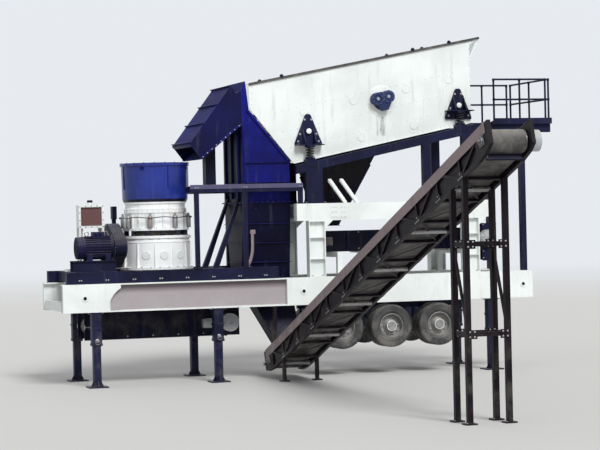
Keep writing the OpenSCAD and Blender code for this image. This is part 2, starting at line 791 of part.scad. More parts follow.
// Side plates of the hood
module hood_sides() plant() color(navy) both_sides() side_profile(-chute_w / 2, -chute_w / 2 + plate)
    polygon([
        [tip_x, tip_z], [tip_x + 60, tip_z - 60], [lip_x, lip_z], [chute_from, join_z],
        [chute_from, chute_top], notch, ridge
    ]);

// Floor and roof of the hood between its side plates
module hood_plates() plant() color(navy) {
    y = chute_w / 2 - plate;
    side_profile(-y, y) polygon([
        [lip_x, lip_z], [chute_from, join_z], [chute_from, join_z + hood_t], [lip_x, lip_z + hood_t]
    ]);
    side_profile(-y, y) polygon([
        [tip_x, tip_z], ridge, notch, [chute_from, chute_top], edge_top, edge_top - [0, 20],
        [chute_from, chute_top - 20], notch - [0, 20], ridge - [0, 22], [tip_x + 12, tip_z - 10]
    ]);
}

// The portal frame and the screen's sub-frame

// Columns with foot and head plates, and haunches under the beams
module portal_columns() plant() color(white) both_sides() for (x = [column_x1, column_x2]) {
    w = column_w / 2;
    y0 = -half_w;
    y1 = -half_w + flange_w;
    block([x - w, y0, girder_top], [x + w, y1, girder_top + 25]);
    block([x - w, y0, portal_z - 25], [x + w, y1, portal_z]);
    for (s = [-1, 1]) block([x + s * (w - 10) - 10, y0, girder_top + 25], [x + s * (w - 10) + 10, y1, portal_z - 25]);
    block([x - w + 20, -girder_y - 8, girder_top + 25], [x + w - 20, -girder_y + 8, portal_z - 25]);
    side_profile(y0, y1) polygon([[x + w, portal_z - 180], [x + w + 190, portal_z], [x + w, portal_z]]);
}

module portal_beams() plant() color(white) both_sides()
    block([portal_from, -half_w, portal_z], [portal_to, -half_w + flange_w, portal_z + portal_d]);

// Cross bars between the portal beams, and lower ones between the columns that carry the screen's belt
module portal_crossbars() plant() color(white) {
    y = half_w - flange_w;
    for (x = [column_x1 - 330, column_x2, portal_to - 180])
        block([x, -y, portal_z + 60], [x + 180, y, portal_z + portal_d - 60]);
    for (x = [column_x1 + column_w / 2 + 360, column_x2 - 60]) {
        block([x, -y, fines_z + fines_low - 120], [x + 120, y, fines_z + fines_low]);
        both_sides() block([x, -y, girder_top], [x + 120, -y + 120, fines_z + fines_low - 120]);
    }
}

sub_in = spring_y - sub_w / 2;
sub_out = spring_y + sub_w / 2;
post_x1 = column_x1 - column_w / 2;
post_x2 = column_x1 + column_w / 2;

// Station of the post that only the near side has
near_post = column_x2 - 1140;

// Posts from the portal beams and the girders up to the sub-frame beams
module subframe_posts() plant() color(dark) {
    subframe_post(near_post, near_post + 180);
    both_sides() outer_posts();
}

// One post on the portal's beam, with its foot plate, up to the slope of the sub-frame beam
module subframe_post(x0, x1) {
    top = portal_z + portal_d;
    side_profile(-sub_out, -sub_in) polygon([
        [x0, top + 20], [x1, top + 20], [x1, sub_under(x1)], [x0, sub_under(x0)]
    ]);
    block([x0 - 60, -half_w + 5, top], [x1 + 60, -sub_in, top + 20]);
}

// The posts that both sides have
module outer_posts() {
    for (p = [[post_x1, post_x2], [column_x2 - 140, column_x2 + 80]]) subframe_post(p[0], p[1]);
    block([girder_len - 200, -sub_out, girder_top], [girder_len - 80, -sub_in, level_top - sub_d]);
}

// The two long dark beams: sloping under the screen, level under the platform, with a pad under each spring
module subframe_beams() plant() color(dark) both_sides() {
    x0 = screen_x - 130;
    low_bend = bend_x + sub_d * tan(screen_angle / 2);
    side_profile(-sub_out, -sub_in) polygon([
        [x0, sub_top(x0)], [bend_x, level_top], [platform_to, level_top], [platform_to, level_top - sub_d],
        [low_bend, level_top - sub_d], [x0, sub_under(x0)]
    ]);
    for (u = [spring_u1, spring_u2]) {
        x = slope_x(u, 0);
        side_profile(-sub_out - 10, -sub_in) polygon([
            [x - 140, sub_under(x) + 100], [x + 140, sub_under(x) + 100], [x + 140, spring_seat(u)],
            [x - 140, spring_seat(u)]
        ]);
    }
}

// Height of the level pad under a spring
function spring_seat(u) = slope_z(u, 0) + 20;

// The screen on its springs

// Ring of points round a coil spring's wire at turn a
wire_sides = 6;
function wire_ring(a) = [for (k = [0:wire_sides - 1])
    let (
        r = (coil_d - wire_d) / 2 + wire_d / 2 * cos(360 * k / wire_sides),
        z = wire_d / 2 * sin(360 * k / wire_sides)
    )
    [r * cos(a), r * sin(a), coil_rise(a) + z]];
// Height of the wire's middle at turn angle a
coil_foot = fit + wire_d / 2 * sin(60);
function coil_rise(a) = coil_foot + (coil_h - 2 * coil_foot) * a / 360 / coil_turns;

module coil_spring() {
    step = 30;
    angles = [0:step:360 * coil_turns];
    rings = [for (a = angles) wire_ring(a)];
    n = len(rings);
    polyhedron(
        points = [for (ring = rings, p = ring) p],
        faces = concat(
            [[for (k = [0:wire_sides - 1]) k]],
            [for (i = [0:n - 2], k = [0:wire_sides - 1])
                let (a = i * wire_sides, b = a + wire_sides, m = (k + 1) % wire_sides) [a + k, b + k, b + m, a + m]],
            [[for (k = [wire_sides - 1:-1:0]) (n - 1) * wire_sides + k]]
        )
    );
}

module coil_springs() plant() color(dark) both_sides() for (u = [spring_u1, spring_u2])
    translate([slope_x(u, 0), -spring_y, spring_seat(u)]) coil_spring();

// Brackets on the screen's sides over the springs: base plate, tall triangular plate with a boss, two webs
module spring_brackets() plant() color(dark) both_sides() for (u = [spring_u1, spring_u2])
    translate([slope_x(u, 0), 0, spring_seat(u) + coil_h]) {
        y1 = -screen_w / 2;
        drop = u == spring_u2 ? 190 : 0;
        block([-330, -spring_y - 110, 0], [330, y1, 22]);
        translate([0, 0, -drop]) side_profile(y1 - 50, y1) polygon([
            [-330, 0], [330, 0], [330, 60], [70, 700], [40, 730], [-40, 730], [-70, 700], [-330, 60]
        ]);
        for (x = [-1, 1]) translate([x * 130, 0, 0]) rotate([90, 0, -90]) translate([-y1, 0, -10])
            linear_extrude(20) polygon([[50, 22], [250, 22], [250, 80], [50, 380]]);
        translate([0, 0, 330 - drop]) bar_y(150, y1 - 90, y1 - 50);
    }

// Outline of a side plate in the sloping frame: low corner, upright feed end, tip, and the slanting discharge end
side_points = [
    [-120, 0], [screen_len - 120, 0], [screen_len - 120 + screen_d * 0.9 * st, screen_d * 0.9],
    [screen_len + 560, screen_d * 0.96], [-nose_len, screen_d], [-nose_len - 110, screen_d * 0.73]
];

// One side of the screen on the near side: plate, turned-out top edge, lower edge angle and stiffeners
module screen_side() on_slope() {
    y0 = -screen_w / 2;
    side_profile(y0, y0 + side_t) polygon(side_points);
    side_profile(y0 - 22, y0) polygon([
        side_points[4], side_points[3], side_points[3] - [10, 14], side_points[4] - [-4, 14]
    ]);
}

module screen_side_near() plant() color(white) screen_side();

module screen_side_far() plant() color(white) mirror([0, 1, 0]) screen_side();

// Heights of the decks over the lower edge, with the exciter's tube between the middle and the top deck
deck_heights = [360, 760, 1240];
function deck_w(i) = deck_heights[i];

// Open decks: a frame with long bars and cross bars under the wire cloth
module screen_decks() plant() color(steel) on_slope() for (i = [0:deck_count - 1]) {
    u0 = -nose_len * (0.25 + 0.25 * i);
    u1 = screen_len - 260;
    bars = 7;
    for (y = [-1, 1]) block([u0, y * (screen_in - 30) - 30, deck_w(i)], [u1, y * (screen_in - 30) + 30, deck_w(i) + 50]);
    for (k = [1:bars - 1]) let (y = -screen_in + k * 2 * screen_in / bars)
        block([u0, y - 9, deck_w(i)], [u1, y + 9, deck_w(i) + 50]);
    for (u = [u0:(u1 - u0 - 40) / 9:u1 - 30]) block([u, -screen_in, deck_w(i)], [u + 40, screen_in, deck_w(i) + 35]);
}

// Cross tubes between the sides, under each deck
module screen_tubes() plant() color(steel) on_slope() for (i = [0:deck_count - 1], u = [400, 1650, 3000, screen_len - 450])
    if (i != 1 || abs(u - exciter_u) > 700 + shaft_tube / 2) translate([u, 0, deck_w(i) - tube_d / 2 - 25])
        bar_y(tube_d, -screen_in, screen_in);

// Back plate and lip at the feed end
module feed_box() plant() color(white) on_slope() side_profile(-screen_in, screen_in) {
    u = screen_len - 160;
    polygon([
        [u, 0], [u + 20, 0], [u + 20 + screen_d * 0.7 * st, screen_d * 0.7],
        [screen_len + 540, screen_d * 0.95], [screen_len + 522, screen_d * 0.962], [u + screen_d * 0.72 * st, screen_d * 0.72]
    ]);
}

exciter_w = 980;
shaft_tube = 240;

// Exciter: shaft tube between the sides, and on each side a flange with its two-lobed cover
module exciter() plant() color(navy) on_slope(exciter_u, exciter_w) {
    bar_y(shaft_tube, -screen_in, screen_in);
    both_sides() {
        y = -screen_w / 2;
        bar_y(430, y - 30, y);
        difference() {
            union() {
                for (s = [-1, 1]) translate([s * 135, 0, 70]) bar_y(lobe_d, y - 190, y - 30);
                side_profile(y - 170, y - 30) polygon([[-270, 60], [270, 60], [70, -230], [-70, -230]]);
            }
            for (s = [-1, 1]) translate([s * 135, 0, 70]) bar_y(lobe_d - 120, y - 191, y - 170);
        }
    }
}

// Hopper under the lower end of the screen
module screen_hopper() plant() color(dark) {
    difference() {
        hopper_shape(0);
        hopper_shape(plate);
    }
}

// Hopper mouth and outlet along X, with the outlet's half width and height
hopper_x0 = post_x2 + 30;
hopper_x1 = hopper_x0 + 1360;
outlet_x0 = hopper_x0 + 270;
outlet_x1 = outlet_x0 + 320;
outlet_y = 260;
outlet_z = fines_z + pulley_d / 2 + belt_t + 160;

// The hopper as a full body, smaller by t on every side and longer at both ends when t isn't 0
module hopper_shape(t) {
    s = t == 0 ? 0 : 1;
    z0 = sub_under(hopper_x0) + 60;
    z1 = sub_under(hopper_x1) + 60;
    hull() {
        side_profile(-sub_in + t, sub_in - t) polygon([
            [hopper_x0 + t, z0 - 1 + s], [hopper_x1 - t, z1 - 1 + s], [hopper_x1 - t, z1 + s], [hopper_x0 + t, z0 + s]
        ]);
        block([outlet_x0 + t, -outlet_y + t, outlet_z - s], [outlet_x1 - t, outlet_y - t, outlet_z + 1 - s]);
    }
}

// Two slanting flat bars on each side, from the portal beams up to the hopper's side walls
module hopper_braces() plant() color(white) both_sides() difference() {
    for (x = [hopper_x0 + 200, hopper_x0 + 490]) hull() {
        block([x + 290, brace_y - 60, portal_z + portal_d], [x + 370, brace_y, portal_z + portal_d + 30]);
        block([x, brace_y + 210, brace_z], [x + 80, brace_y + 270, brace_z + 60]);
    }
    hopper_shape(0);
}
brace_y = -sub_in - 60;
brace_z = portal_z + portal_d + 510;

// The feed platform

// Platform floor on the level beams, with toe plates round three sides and bearers under it
module feed_platform() plant() color(dark) {
    y = half_w - 10;
    block([platform_from, -y, level_top], [platform_to, y, platform_z]);
    for (s = [0, 1]) mirror([0, s, 0]) block([platform_from, -y, platform_z], [platform_to, -y + 8, platform_z + 100]);
    block([platform_to - 8, -y, platform_z], [platform_to, y, platform_z + 100]);
    for (x = [platform_from, (platform_from + platform_to) / 2, platform_to - 60])
        block([x, -sub_in, level_top - 90], [x + 60, sub_in, level_top]);
}

// A rail at each height along X, on posts that stand on the floor
module rail_run_x(x0, x1, y) {
    for (z = [rail_h - rail_d / 2, rail_h * 0.52]) translate([0, y, platform_z + z])
        bar_x(rail_d - 2, x0, x1);
    for (x = [x0 + rail_d / 2, (x0 + x1) / 2, x1 - rail_d / 2])
        translate([x, y, platform_z]) cylinder(d = rail_d, h = rail_h);
}

// Handrails on the near side, the far side and the end
module platform_rails() plant() color(dark) {
    y = half_w - 60;
    both_sides() rail_run_x(platform_from + 20, platform_to - 120, -y);
    translate([platform_to - 50, 0, 0]) {
        for (z = [rail_h - rail_d / 2, rail_h * 0.52]) translate([0, 0, platform_z + z])
            bar_y(rail_d - 2, -y, y);
        for (s = [-1, 0, 1]) translate([0, s * (y - rail_d / 2), platform_z]) cylinder(d = rail_d, h = rail_h);
    }
}

// The belts under the machines

// Side plates of a level belt between two stations, with a turned-out lower edge
module belt_sides(x0, x1, z, low, high) {
    both_sides() {
        block([x0 - 260, -belt_w / 2 - 60, z + low], [x1 + 260, -belt_w / 2 - 40, z + high]);
        block([x0 - 260, -belt_w / 2 - 130, z + low], [x1 - 120, -belt_w / 2 - 60, z + low + 12]);
    }
}

// Sheet hood round the head pulley under the screen, open below
module fines_hood() plant() color(dark) {
    y = belt_w / 2 + 60;
    x = fines_to - 90;
    difference() {
        block([x, -y - 10, fines_z - 560], [fines_to + 280, y + 10, fines_z + 330]);
        block([x - 1, -y, fines_z - 561], [fines_to + 270, y, fines_z + 320]);
    }
}

// A belt's drive on its shaft end: round reducer with a flange, and a finned motor along the belt
module gearmotor(d, y) {
    bar_y(d, y - 190, y - 20);
    bar_y(d - 120, y - 20, y);
    bar_y(d * 0.55, y - 215, y - 190);
    translate([0, y - 120, 0]) {
        bar_x(200, -d / 2 - 360, -d / 2 + 40);
        bar_x(230, -d / 2 - 30, -d / 2 + 30);
        bar_x(214, -d / 2 - 440, -d / 2 - 350);
        for (i = [0:11]) rotate([30 * i, 0, 0]) block([-d / 2 - 340, -4, 90], [-d / 2 - 60, 4, 114]);
    }
}

module gearmotors() plant() color(steel) {
    translate([under_to, 0, under_z]) gearmotor(420, -belt_w / 2 - 60);
    translate([fines_to, 0, fines_z]) gearmotor(360, -belt_w / 2 - 70);
    on_side_conveyor() translate([side_len, 0, 0]) mirror([0, 1, 0]) gearmotor(380, -side_w / 2);
}

module belt_frames() plant() color(navy) {
    belt_sides(under_from, under_to, under_z, -300, cross_z - under_z);
    belt_sides(fines_from, fines_to, fines_z, fines_low, 240);
}

// One flat belt round two pulleys
module belt_loop(len, w) {
    r = pulley_d / 2 + fit;
    difference() {
        belt_bar(len, r + belt_t, w);
        belt_bar(len, r, w + 2);
    }
}

module belt_bar(len, r, w) {
    side_profile(-w / 2, w / 2) {
        circle(r = r);
        translate([len, 0]) circle(r = r);
        translate([0, -r]) square([len, 2 * r]);
    }
}

module under_belts() plant() color(black_rubber) {
    translate([under_from, 0, under_z]) belt_loop(under_to - under_from, belt_w);
    translate([fines_from, 0, fines_z]) belt_loop(fines_to - fines_from, belt_w);
}

module side_belt() plant() color(black_rubber) on_side_conveyor() belt_loop(side_len, belt_w);

// A round drum and its shaft, along Y, between two side plates
module drum(y) {
    bar_y(pulley_d, -belt_w / 2 - 20, belt_w / 2 + 20);
    bar_y(70, -y, y);
}

// All pulleys, and the idler rollers under the carrying runs
module conveyor_rollers() plant() color(steel) {
    y = belt_w / 2 + 40;
    for (p = [[under_from, under_z], [under_to, under_z], [fines_from, fines_z], [fines_to, fines_z]])
        translate([p[0], 0, p[1]]) drum(y);
    for (x = [under_from + 500:600:under_to - 300]) translate([x, 0, under_z + pulley_d / 2 - idler_d / 2])
        bar_y(idler_d, -y, y);
    for (x = [fines_from + 500:700:fines_to - 300]) translate([x, 0, fines_z + pulley_d / 2 - idler_d / 2])
        bar_y(idler_d, -y, y);
    on_side_conveyor() {
        ys = side_w / 2 - chord_w;
        for (u = [0, side_len]) translate([u, 0, 0]) drum(ys);
        for (i = [1:panel_count - 1]) translate([i * side_len / panel_count, 0, pulley_d / 2 - idler_d / 2])
            bar_y(idler_d, -ys, ys);
    }
}

// The side conveyor

// A straight bar in a side truss between two points, drawn in the sloping frame
module truss_bar(a, b, w) {
    v = b - a;
    translate(a) rotate(atan2(v[1], v[0])) translate([0, -w / 2]) square([norm(v), w]);
}

// The two side trusses, closed by a web sheet on the inner face of their bars
module side_trusses() plant() color(dark) on_side_conveyor() both_sides() {
    truss_bars();
    side_profile(-side_w / 2 + chord_w - 30, -side_w / 2 + chord_w - 20)
        translate([200, truss_low + 10]) square([side_len - 400, truss_d - 20]);
}

// One side's chords, posts and diagonals, with solid end plates that carry the pulleys
module truss_bars() side_profile(-side_w / 2, -side_w / 2 + chord_w) {
    u0 = -tail_reach;
    u1 = side_len + head_reach;
    p = side_len / panel_count;
    lo = truss_low + chord_w / 2;
    hi = truss_top - chord_w / 2;
    translate([u0, truss_top - chord_w]) square([u1 - u0, chord_w]);
    translate([250, truss_low]) square([side_len - 500, chord_w]);
    polygon([[u0, truss_top], [u0, end_low], [-100, end_low - 80], [300, truss_low], [330, truss_top]]);
    polygon([
        [u1, truss_top], [u1, end_low], [side_len + 100, end_low - 80], [side_len - 300, truss_low],
        [side_len - 330, truss_top]
    ]);
    for (i = [1:panel_count - 1]) truss_bar([i * p, lo], [i * p, hi], 50);
    for (i = [0:panel_count - 1]) truss_bar([i * p, i % 2 == 0 ? hi : lo], [(i + 1) * p, i % 2 == 0 ? lo : hi], 50);
}

// Cross bars between the trusses, under the return belt
module truss_crossbars() plant() color(dark) on_side_conveyor() {
    y = side_w / 2 - chord_w;
    for (i = [1:panel_count - 1]) block([i * side_len / panel_count - 30, -y, truss_low], [i * side_len / panel_count + 30, y, truss_low + 60]);
}

// Height of the side conveyor's line w square to its shafts' line, at a distance y before the chassis middle line
function truss_z(y, w) = side_tail_z + (y - side_tail_y) * tan(side_angle) + w / cc;

trestle_y = side_tail_y + trestle_u * cc;
trestle_gap = 600;

// A post of the trestle or the tail stand, cut to the slope of the truss that rests on it
module truss_post(y, size, w) {
    rotate([90, 0, 90]) linear_extrude(size) polygon([
        [-y - size / 2, foot_t], [-y + size / 2, foot_t],
        [-y + size / 2, truss_z(y - size / 2, w)], [-y - size / 2, truss_z(y + size / 2, w)]
    ]);
    block([-60, -y - size / 2 - 60, 0], [size + 60, -y + size / 2 + 60, foot_t]);
}

// Trestle under the conveyor's head with its cross bars, the stand under its tail, and the ties to the girder
module conveyor_trestle() plant() color(dark) {
    x = side_w / 2;
    p = trestle_post;
    for (s = [-1, 1]) translate([side_x + s * (x - p / 2) - p / 2, 0, 0]) {
        for (dy = [-1, 1]) truss_post(trestle_y + dy * trestle_gap / 2, p, truss_low);
        for (z = [1600, 3200]) block([20, -trestle_y - trestle_gap / 2, z - 40], [p - 20, -trestle_y + trestle_gap / 2, z + 40]);
        truss_brace(1640, 3160, p);
    }
    for (dy = [-1, 1], z = [1600, 3200]) {
        y = -trestle_y + dy * trestle_gap / 2;
        block([side_x - x + p - 5, y - 30, z - 40], [side_x + x - p + 5, y + 30, z + 40]);
    }
    for (s = [-1, 1]) translate([side_x + s * (x - 40) - 40, 0, 0]) {
        truss_post(side_tail_y + 1100, 80, truss_low);
        rotate([90, 0, 90]) linear_extrude(80) polygon([
            [-half_w + 20, girder_z], [-half_w + 140, girder_z],
            [-half_w + 140, truss_z(half_w - 140, truss_top)], [-half_w + 20, truss_z(half_w - 20, truss_top)]
        ]);
    }
}

// A diagonal between a trestle pair's cross bars
module truss_brace(z0, z1, size) {
    lean = 110;
    rotate([90, 0, 90]) translate([0, 0, 30]) linear_extrude(size - 60) polygon([
        [-trestle_y - trestle_gap / 2, z0 - 60], [-trestle_y - trestle_gap / 2, z0 + lean],
        [-trestle_y + trestle_gap / 2, z1 + 60], [-trestle_y + trestle_gap / 2, z1 - lean]
    ]);
}

girder_near();
girder_far();
cross_members();
support_legs();
leg_feet();
axle_group();
tyres();
wheel_rims();
skid_rails();
skid_crossbeams();
crusher_frame();
pinion_housing();
spring_packs();
adjustment_ring();
crushing_head();
feed_drum();
drive_sheaves();
drive_belts();
belt_guard();
drive_motor();
motor_base();
oil_cooler();
cooler_stand();
walkway_deck();
walkway_posts();
chute_sides();
chute_ends();
chute_spout();
hood_sides();
hood_plates();
portal_columns();
portal_beams();
portal_crossbars();
hopper_braces();
subframe_posts();
subframe_beams();
coil_springs();
spring_brackets();
screen_side_near();
screen_side_far();
screen_decks();
screen_tubes();
feed_box();
exciter();
screen_hopper();
feed_platform();
platform_rails();
belt_frames();
under_belts();
fines_hood();
gearmotors();
side_trusses();
truss_crossbars();
side_belt();
conveyor_rollers();
conveyor_trestle();
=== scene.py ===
"""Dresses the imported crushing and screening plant: finishes, small parts, floor, light and camera."""

from __future__ import annotations

import json
import logging
import math
from collections.abc import Iterable, Sequence
from dataclasses import dataclass, field
from enum import Enum

import bpy
import numpy as np
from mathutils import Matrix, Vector


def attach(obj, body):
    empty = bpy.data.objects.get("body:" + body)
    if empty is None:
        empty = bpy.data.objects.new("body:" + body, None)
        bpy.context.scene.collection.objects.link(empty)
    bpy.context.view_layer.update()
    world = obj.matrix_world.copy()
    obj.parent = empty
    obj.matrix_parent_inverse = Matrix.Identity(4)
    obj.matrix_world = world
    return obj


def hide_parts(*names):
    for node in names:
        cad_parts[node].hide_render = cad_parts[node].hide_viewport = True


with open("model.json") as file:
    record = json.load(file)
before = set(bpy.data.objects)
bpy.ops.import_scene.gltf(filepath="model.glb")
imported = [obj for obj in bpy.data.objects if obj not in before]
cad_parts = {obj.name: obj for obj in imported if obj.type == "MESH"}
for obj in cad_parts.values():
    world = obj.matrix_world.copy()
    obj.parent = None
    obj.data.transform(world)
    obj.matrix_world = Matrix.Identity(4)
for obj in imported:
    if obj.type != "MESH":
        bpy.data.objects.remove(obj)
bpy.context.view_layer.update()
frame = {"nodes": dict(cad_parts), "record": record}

LOG = logging.getLogger("plant")

# Places are measured from the chassis's crusher end (x), its middle line (y, near side below 0) and the
# ground (z), and ORIGIN puts them in the part's frame
ORIGIN = np.array([-6.0, 6.5845, 0.0])

# Where the screen and the side conveyor start, and the degrees at which they rise
SCREEN_FOOT = (5.7, 0.0, 5.01)
SCREEN_RISE = 11.5
SLOPE = math.radians(SCREEN_RISE)
CONVEYOR_FOOT = (5.34, -0.76, 0.43)
CONVEYOR_RISE = 18.8


class Axis(Enum):
    """A direction of the part's frame, by its column."""

    X = 0
    Y = 1
    Z = 2


class Slot(Enum):
    """The record's material slots."""

    WHITE = "white_paint"
    NAVY = "navy_paint"
    DARK = "dark_paint"
    SPRING = "spring_steel"
    STEEL = "worn_steel"
    CAST = "cast_steel"
    TYRE = "tyre"
    BELT = "belt_rubber"
    CORE = "cooler_core"
    CONVEYOR = "conveyor_paint"
    DRIVE = "drive_paint"


# Shapes


@dataclass
class Shell:
    """Points and faces of a shape, in metres at the chassis's own stations.

    Each entry of faces is an array of corner numbers with one row a face.
    """

    points: np.ndarray
    faces: list[np.ndarray]

    def __add__(self, other: Shell) -> Shell:
        """Both shapes as one."""
        shift = len(self.points)
        return Shell(np.vstack([self.points, other.points]), self.faces + [f + shift for f in other.faces])

    def moved(self, x: float = 0.0, y: float = 0.0, z: float = 0.0) -> Shell:
        """The shape carried along by x, y and z."""
        return Shell(self.points + (x, y, z), self.faces)

    def turned(self, axis: Axis, degrees: float) -> Shell:
        """The shape turned about an axis through the origin, by the right-hand rule.

        Args:
            axis: The direction that it turns about.
            degrees: The angle.

        Returns:
            The turned shape.
        """
        i, j = [(1, 2), (2, 0), (0, 1)][axis.value]
        cos, sin = math.cos(math.radians(degrees)), math.sin(math.radians(degrees))
        old, new = self.points, self.points.copy()
        new[:, i] = cos * old[:, i] - sin * old[:, j]
        new[:, j] = sin * old[:, i] + cos * old[:, j]
        return Shell(new, self.faces)

    def mirrored(self) -> Shell:
        """The shape on the other side of the chassis's middle line, with its faces kept outwards."""
        return Shell(self.points * (1, -1, 1), [f[:, ::-1] for f in self.faces])

    def both_sides(self) -> Shell:
        """The shape on the near and on the far side."""
        return self + self.mirrored()

    def on_screen(self) -> Shell:
        """A shape drawn with X up the slope and Z square to it, put in the screen's place."""
        return self.turned(Axis.Y, -SCREEN_RISE).moved(*SCREEN_FOOT)

    def on_conveyor(self) -> Shell:
        """A shape drawn with X up the belt, Y across and Z square to it, put in the side conveyor's place."""
        return self.turned(Axis.Y, -CONVEYOR_RISE).turned(Axis.Z, -90).moved(*CONVEYOR_FOOT)


def skin(rings: int, steps: int) -> np.ndarray:
    """Quads between rings of points, each ring above the one before.

    Args:
        rings: How many rings there are.
        steps: Points round a ring, whose last joins its first.

    Returns:
        One row of four corners a face.
    """
    number, place = np.meshgrid(np.arange(rings - 1), np.arange(steps), indexing="ij")
    low, high, after = number * steps, (number + 1) * steps, (place + 1) % steps
    return np.stack([low + place, low + after, high + after, high + place], -1).reshape(-1, 4)


def places(x: np.ndarray | float, y: np.ndarray | float, z: np.ndarray | float) -> np.ndarray:
    """Rows of x, y and z from rows or single values of each."""
    return np.stack(np.broadcast_arrays(x, y, z), -1).astype(float)


def turned_points(profile: Sequence[Sequence[float]], steps: int) -> np.ndarray:
    """Points of a profile carried round Z: x is r times cos a, y is r times sin a, and z follows the profile.

    Args:
        profile: Pairs of radius and height.
        steps: Points round the axis.

    Returns:
        One row a point, ring by ring.
    """
    radii, heights = np.hsplit(np.asarray(profile, float), 2)
    angles = np.arange(steps) * math.tau / steps
    return places(radii * np.cos(angles), radii * np.sin(angles), heights).reshape(-1, 3)


def joined(shells: Iterable[Shell]) -> Shell:
    """Many shapes as one."""
    shells = list(shells)
    starts = np.cumsum([0, *(len(s.points) for s in shells)])
    faces = [f + start for shell, start in zip(shells, starts) for f in shell.faces]
    return Shell(np.vstack([shell.points for shell in shells]), faces)


def tubes(points: np.ndarray, rings: int, sides: int) -> Shell:
    """Like tubes with flat ends.

    Args:
        points: The points of all the tubes, tube by tube and ring by ring.
        rings: Rings in a tube.
        sides: Points round a ring.

    Returns:
        All the tubes.
    """
    starts = np.arange(len(points) // (rings * sides)) * rings * sides
    walls = (skin(rings, sides)[None] + starts[:, None, None]).reshape(-1, 4)
    ends = np.arange(sides)[None] + starts[:, None]
    return Shell(points, [walls, ends[:, ::-1], ends + (rings - 1) * sides])


def lathe(profile: Sequence[Sequence[float]], steps: int = 48) -> Shell:
    """A turned shape about Z with flat ends.

    Args:
        profile: Pairs of radius and height, up the outside, with no radius of 0.
        steps: Points round the axis.

    Returns:
        The turned shape.
    """
    return tubes(turned_points(profile, steps), len(profile), steps)


def ring(profile: Sequence[Sequence[float]], steps: int = 48) -> Shell:
    """A turned ring about Z whose profile closes on itself.

    Args:
        profile: Pairs of radius and height, up the outside and down the inside.
        steps: Points round the axis.

    Returns:
        The ring.
    """
    count = len(profile)
    return Shell(turned_points(profile, steps), [skin(count + 1, steps) % (count * steps)])


def hoop(inner: float, outer: float, low: float, high: float, steps: int) -> Shell:
    """A square-edged ring about Z between two radii and two heights."""
    return ring([(outer, low), (outer, high), (inner, high), (inner, low)], steps)


def wires(paths: np.ndarray, radius: float, sides: int = 6) -> Shell:
    """Round wires along many paths at once: point = path + radius * (cos a * side + sin a * lift).

    side and lift are square to the path and to each other.

    Args:
        paths: An array of wires by points by three.
        radius: The wires' radius.
        sides: Points round a wire.

    Returns:
        All the wires, with flat ends.
    """
    paths = np.asarray(paths, float)
    along = np.gradient(paths, axis=1)
    along /= np.linalg.norm(along, axis=2, keepdims=True)
    square = np.eye(3)[np.abs(along).reshape(-1, 3).max(0).argmin()]
    side = np.cross(along, square)
    side /= np.linalg.norm(side, axis=2, keepdims=True)
    lift = np.cross(along, side)
    angles = (np.arange(sides) * math.tau / sides)[None, None, :, None]
    spokes = np.cos(angles) * side[:, :, None] + np.sin(angles) * lift[:, :, None]
    return tubes((paths[:, :, None] + radius * spokes).reshape(-1, 3), paths.shape[1], sides)


def pipe(path: Sequence[Sequence[float]], radius: float, sides: int = 10) -> Shell:
    """One round bar or hose along a path, as wires makes it."""
    return wires(np.asarray(path, float)[None], radius, sides)


def smooth_path(knots: Sequence[Sequence[float]], count: int) -> np.ndarray:
    """Points on a smooth curve through knots: each stretch is the cubic through its four nearest knots.

    Args:
        knots: Points that the curve passes through.
        count: Points on the whole curve.

    Returns:
        An array of count points.
    """
    inner = np.asarray(knots, float)
    through = np.vstack([2 * inner[0] - inner[1], inner, 2 * inner[-1] - inner[-2]])
    along = np.linspace(0, len(through) - 3 - 1e-9, count)
    i, f = along.astype(int), (along % 1)[:, None]
    a, b, c, d = (through[i + n] for n in range(4))
    return 0.5 * (2 * b + (c - a) * f + (2 * a - 5 * b + 4 * c - d) * f**2 + (3 * b - a - 3 * c + d) * f**3)


def bars(low: Sequence, high: Sequence) -> Shell:
    """Blocks along the axes: each corner is the low one plus a choice of 0 or 1 times the size on each axis.

    Args:
        low: The low corner, or rows of them.
        high: The high corner, or as many rows.

    Returns:
        All the blocks.
    """
    low, high = np.atleast_2d(np.asarray(low, float)), np.atleast_2d(np.asarray(high, float))
    choice = np.array([[i & 1, i >> 1 & 1, i >> 2 & 1] for i in range(8)])
    points = low[:, None] + choice[None] * (high - low)[:, None]
    quads = np.array([[0, 2, 3, 1], [4, 5, 7, 6], [0, 1, 5, 4], [2, 6, 7, 3], [0, 4, 6, 2], [1, 3, 7, 5]])
    starts = 8 * np.arange(len(low))[:, None, None]
    return Shell(points.reshape(-1, 3), [(quads[None] + starts).reshape(-1, 4)])


def studs(centres: Sequence, axis: Axis, radius: float, height: float, sides: int = 6) -> Shell:
    """Prisms with a chamfered end that stand up from their centres.

    Args:
        centres: Rows of x, y and z.
        axis: The direction they stand in.
        radius: Distance from the middle to a corner.
        height: Their height, negative to stand the other way.
        sides: Corners round a prism.

    Returns:
        All the prisms.
    """
    centres = np.atleast_2d(np.asarray(centres, float))
    profile = np.array([[1.0, 0.0], [1.0, 0.75], [0.8, 1.0]]) * (radius, height)
    local = turned_points(profile, sides) * (1, math.copysign(1, height), 1)
    local = np.roll(local, axis.value + 1, axis=1)
    return tubes((centres[:, None] + local[None]).reshape(-1, 3), len(profile), sides)


def bolts(centres: Sequence, axis: Axis, radius: float, way: int) -> Shell:
    """Hexagon heads on round washers.

    Args:
        centres: Rows of x, y and z on the surface that they hold.
        axis: The direction they stand in.
        radius: Distance from a head's middle to its corner.
        way: 1 along that direction, or -1 against it.

    Returns:
        All the bolts.
    """
    washers = studs(centres, axis, 1.5 * radius, 0.25 * radius * way, 12)
    return washers + studs(centres, axis, radius, 0.95 * radius * way)


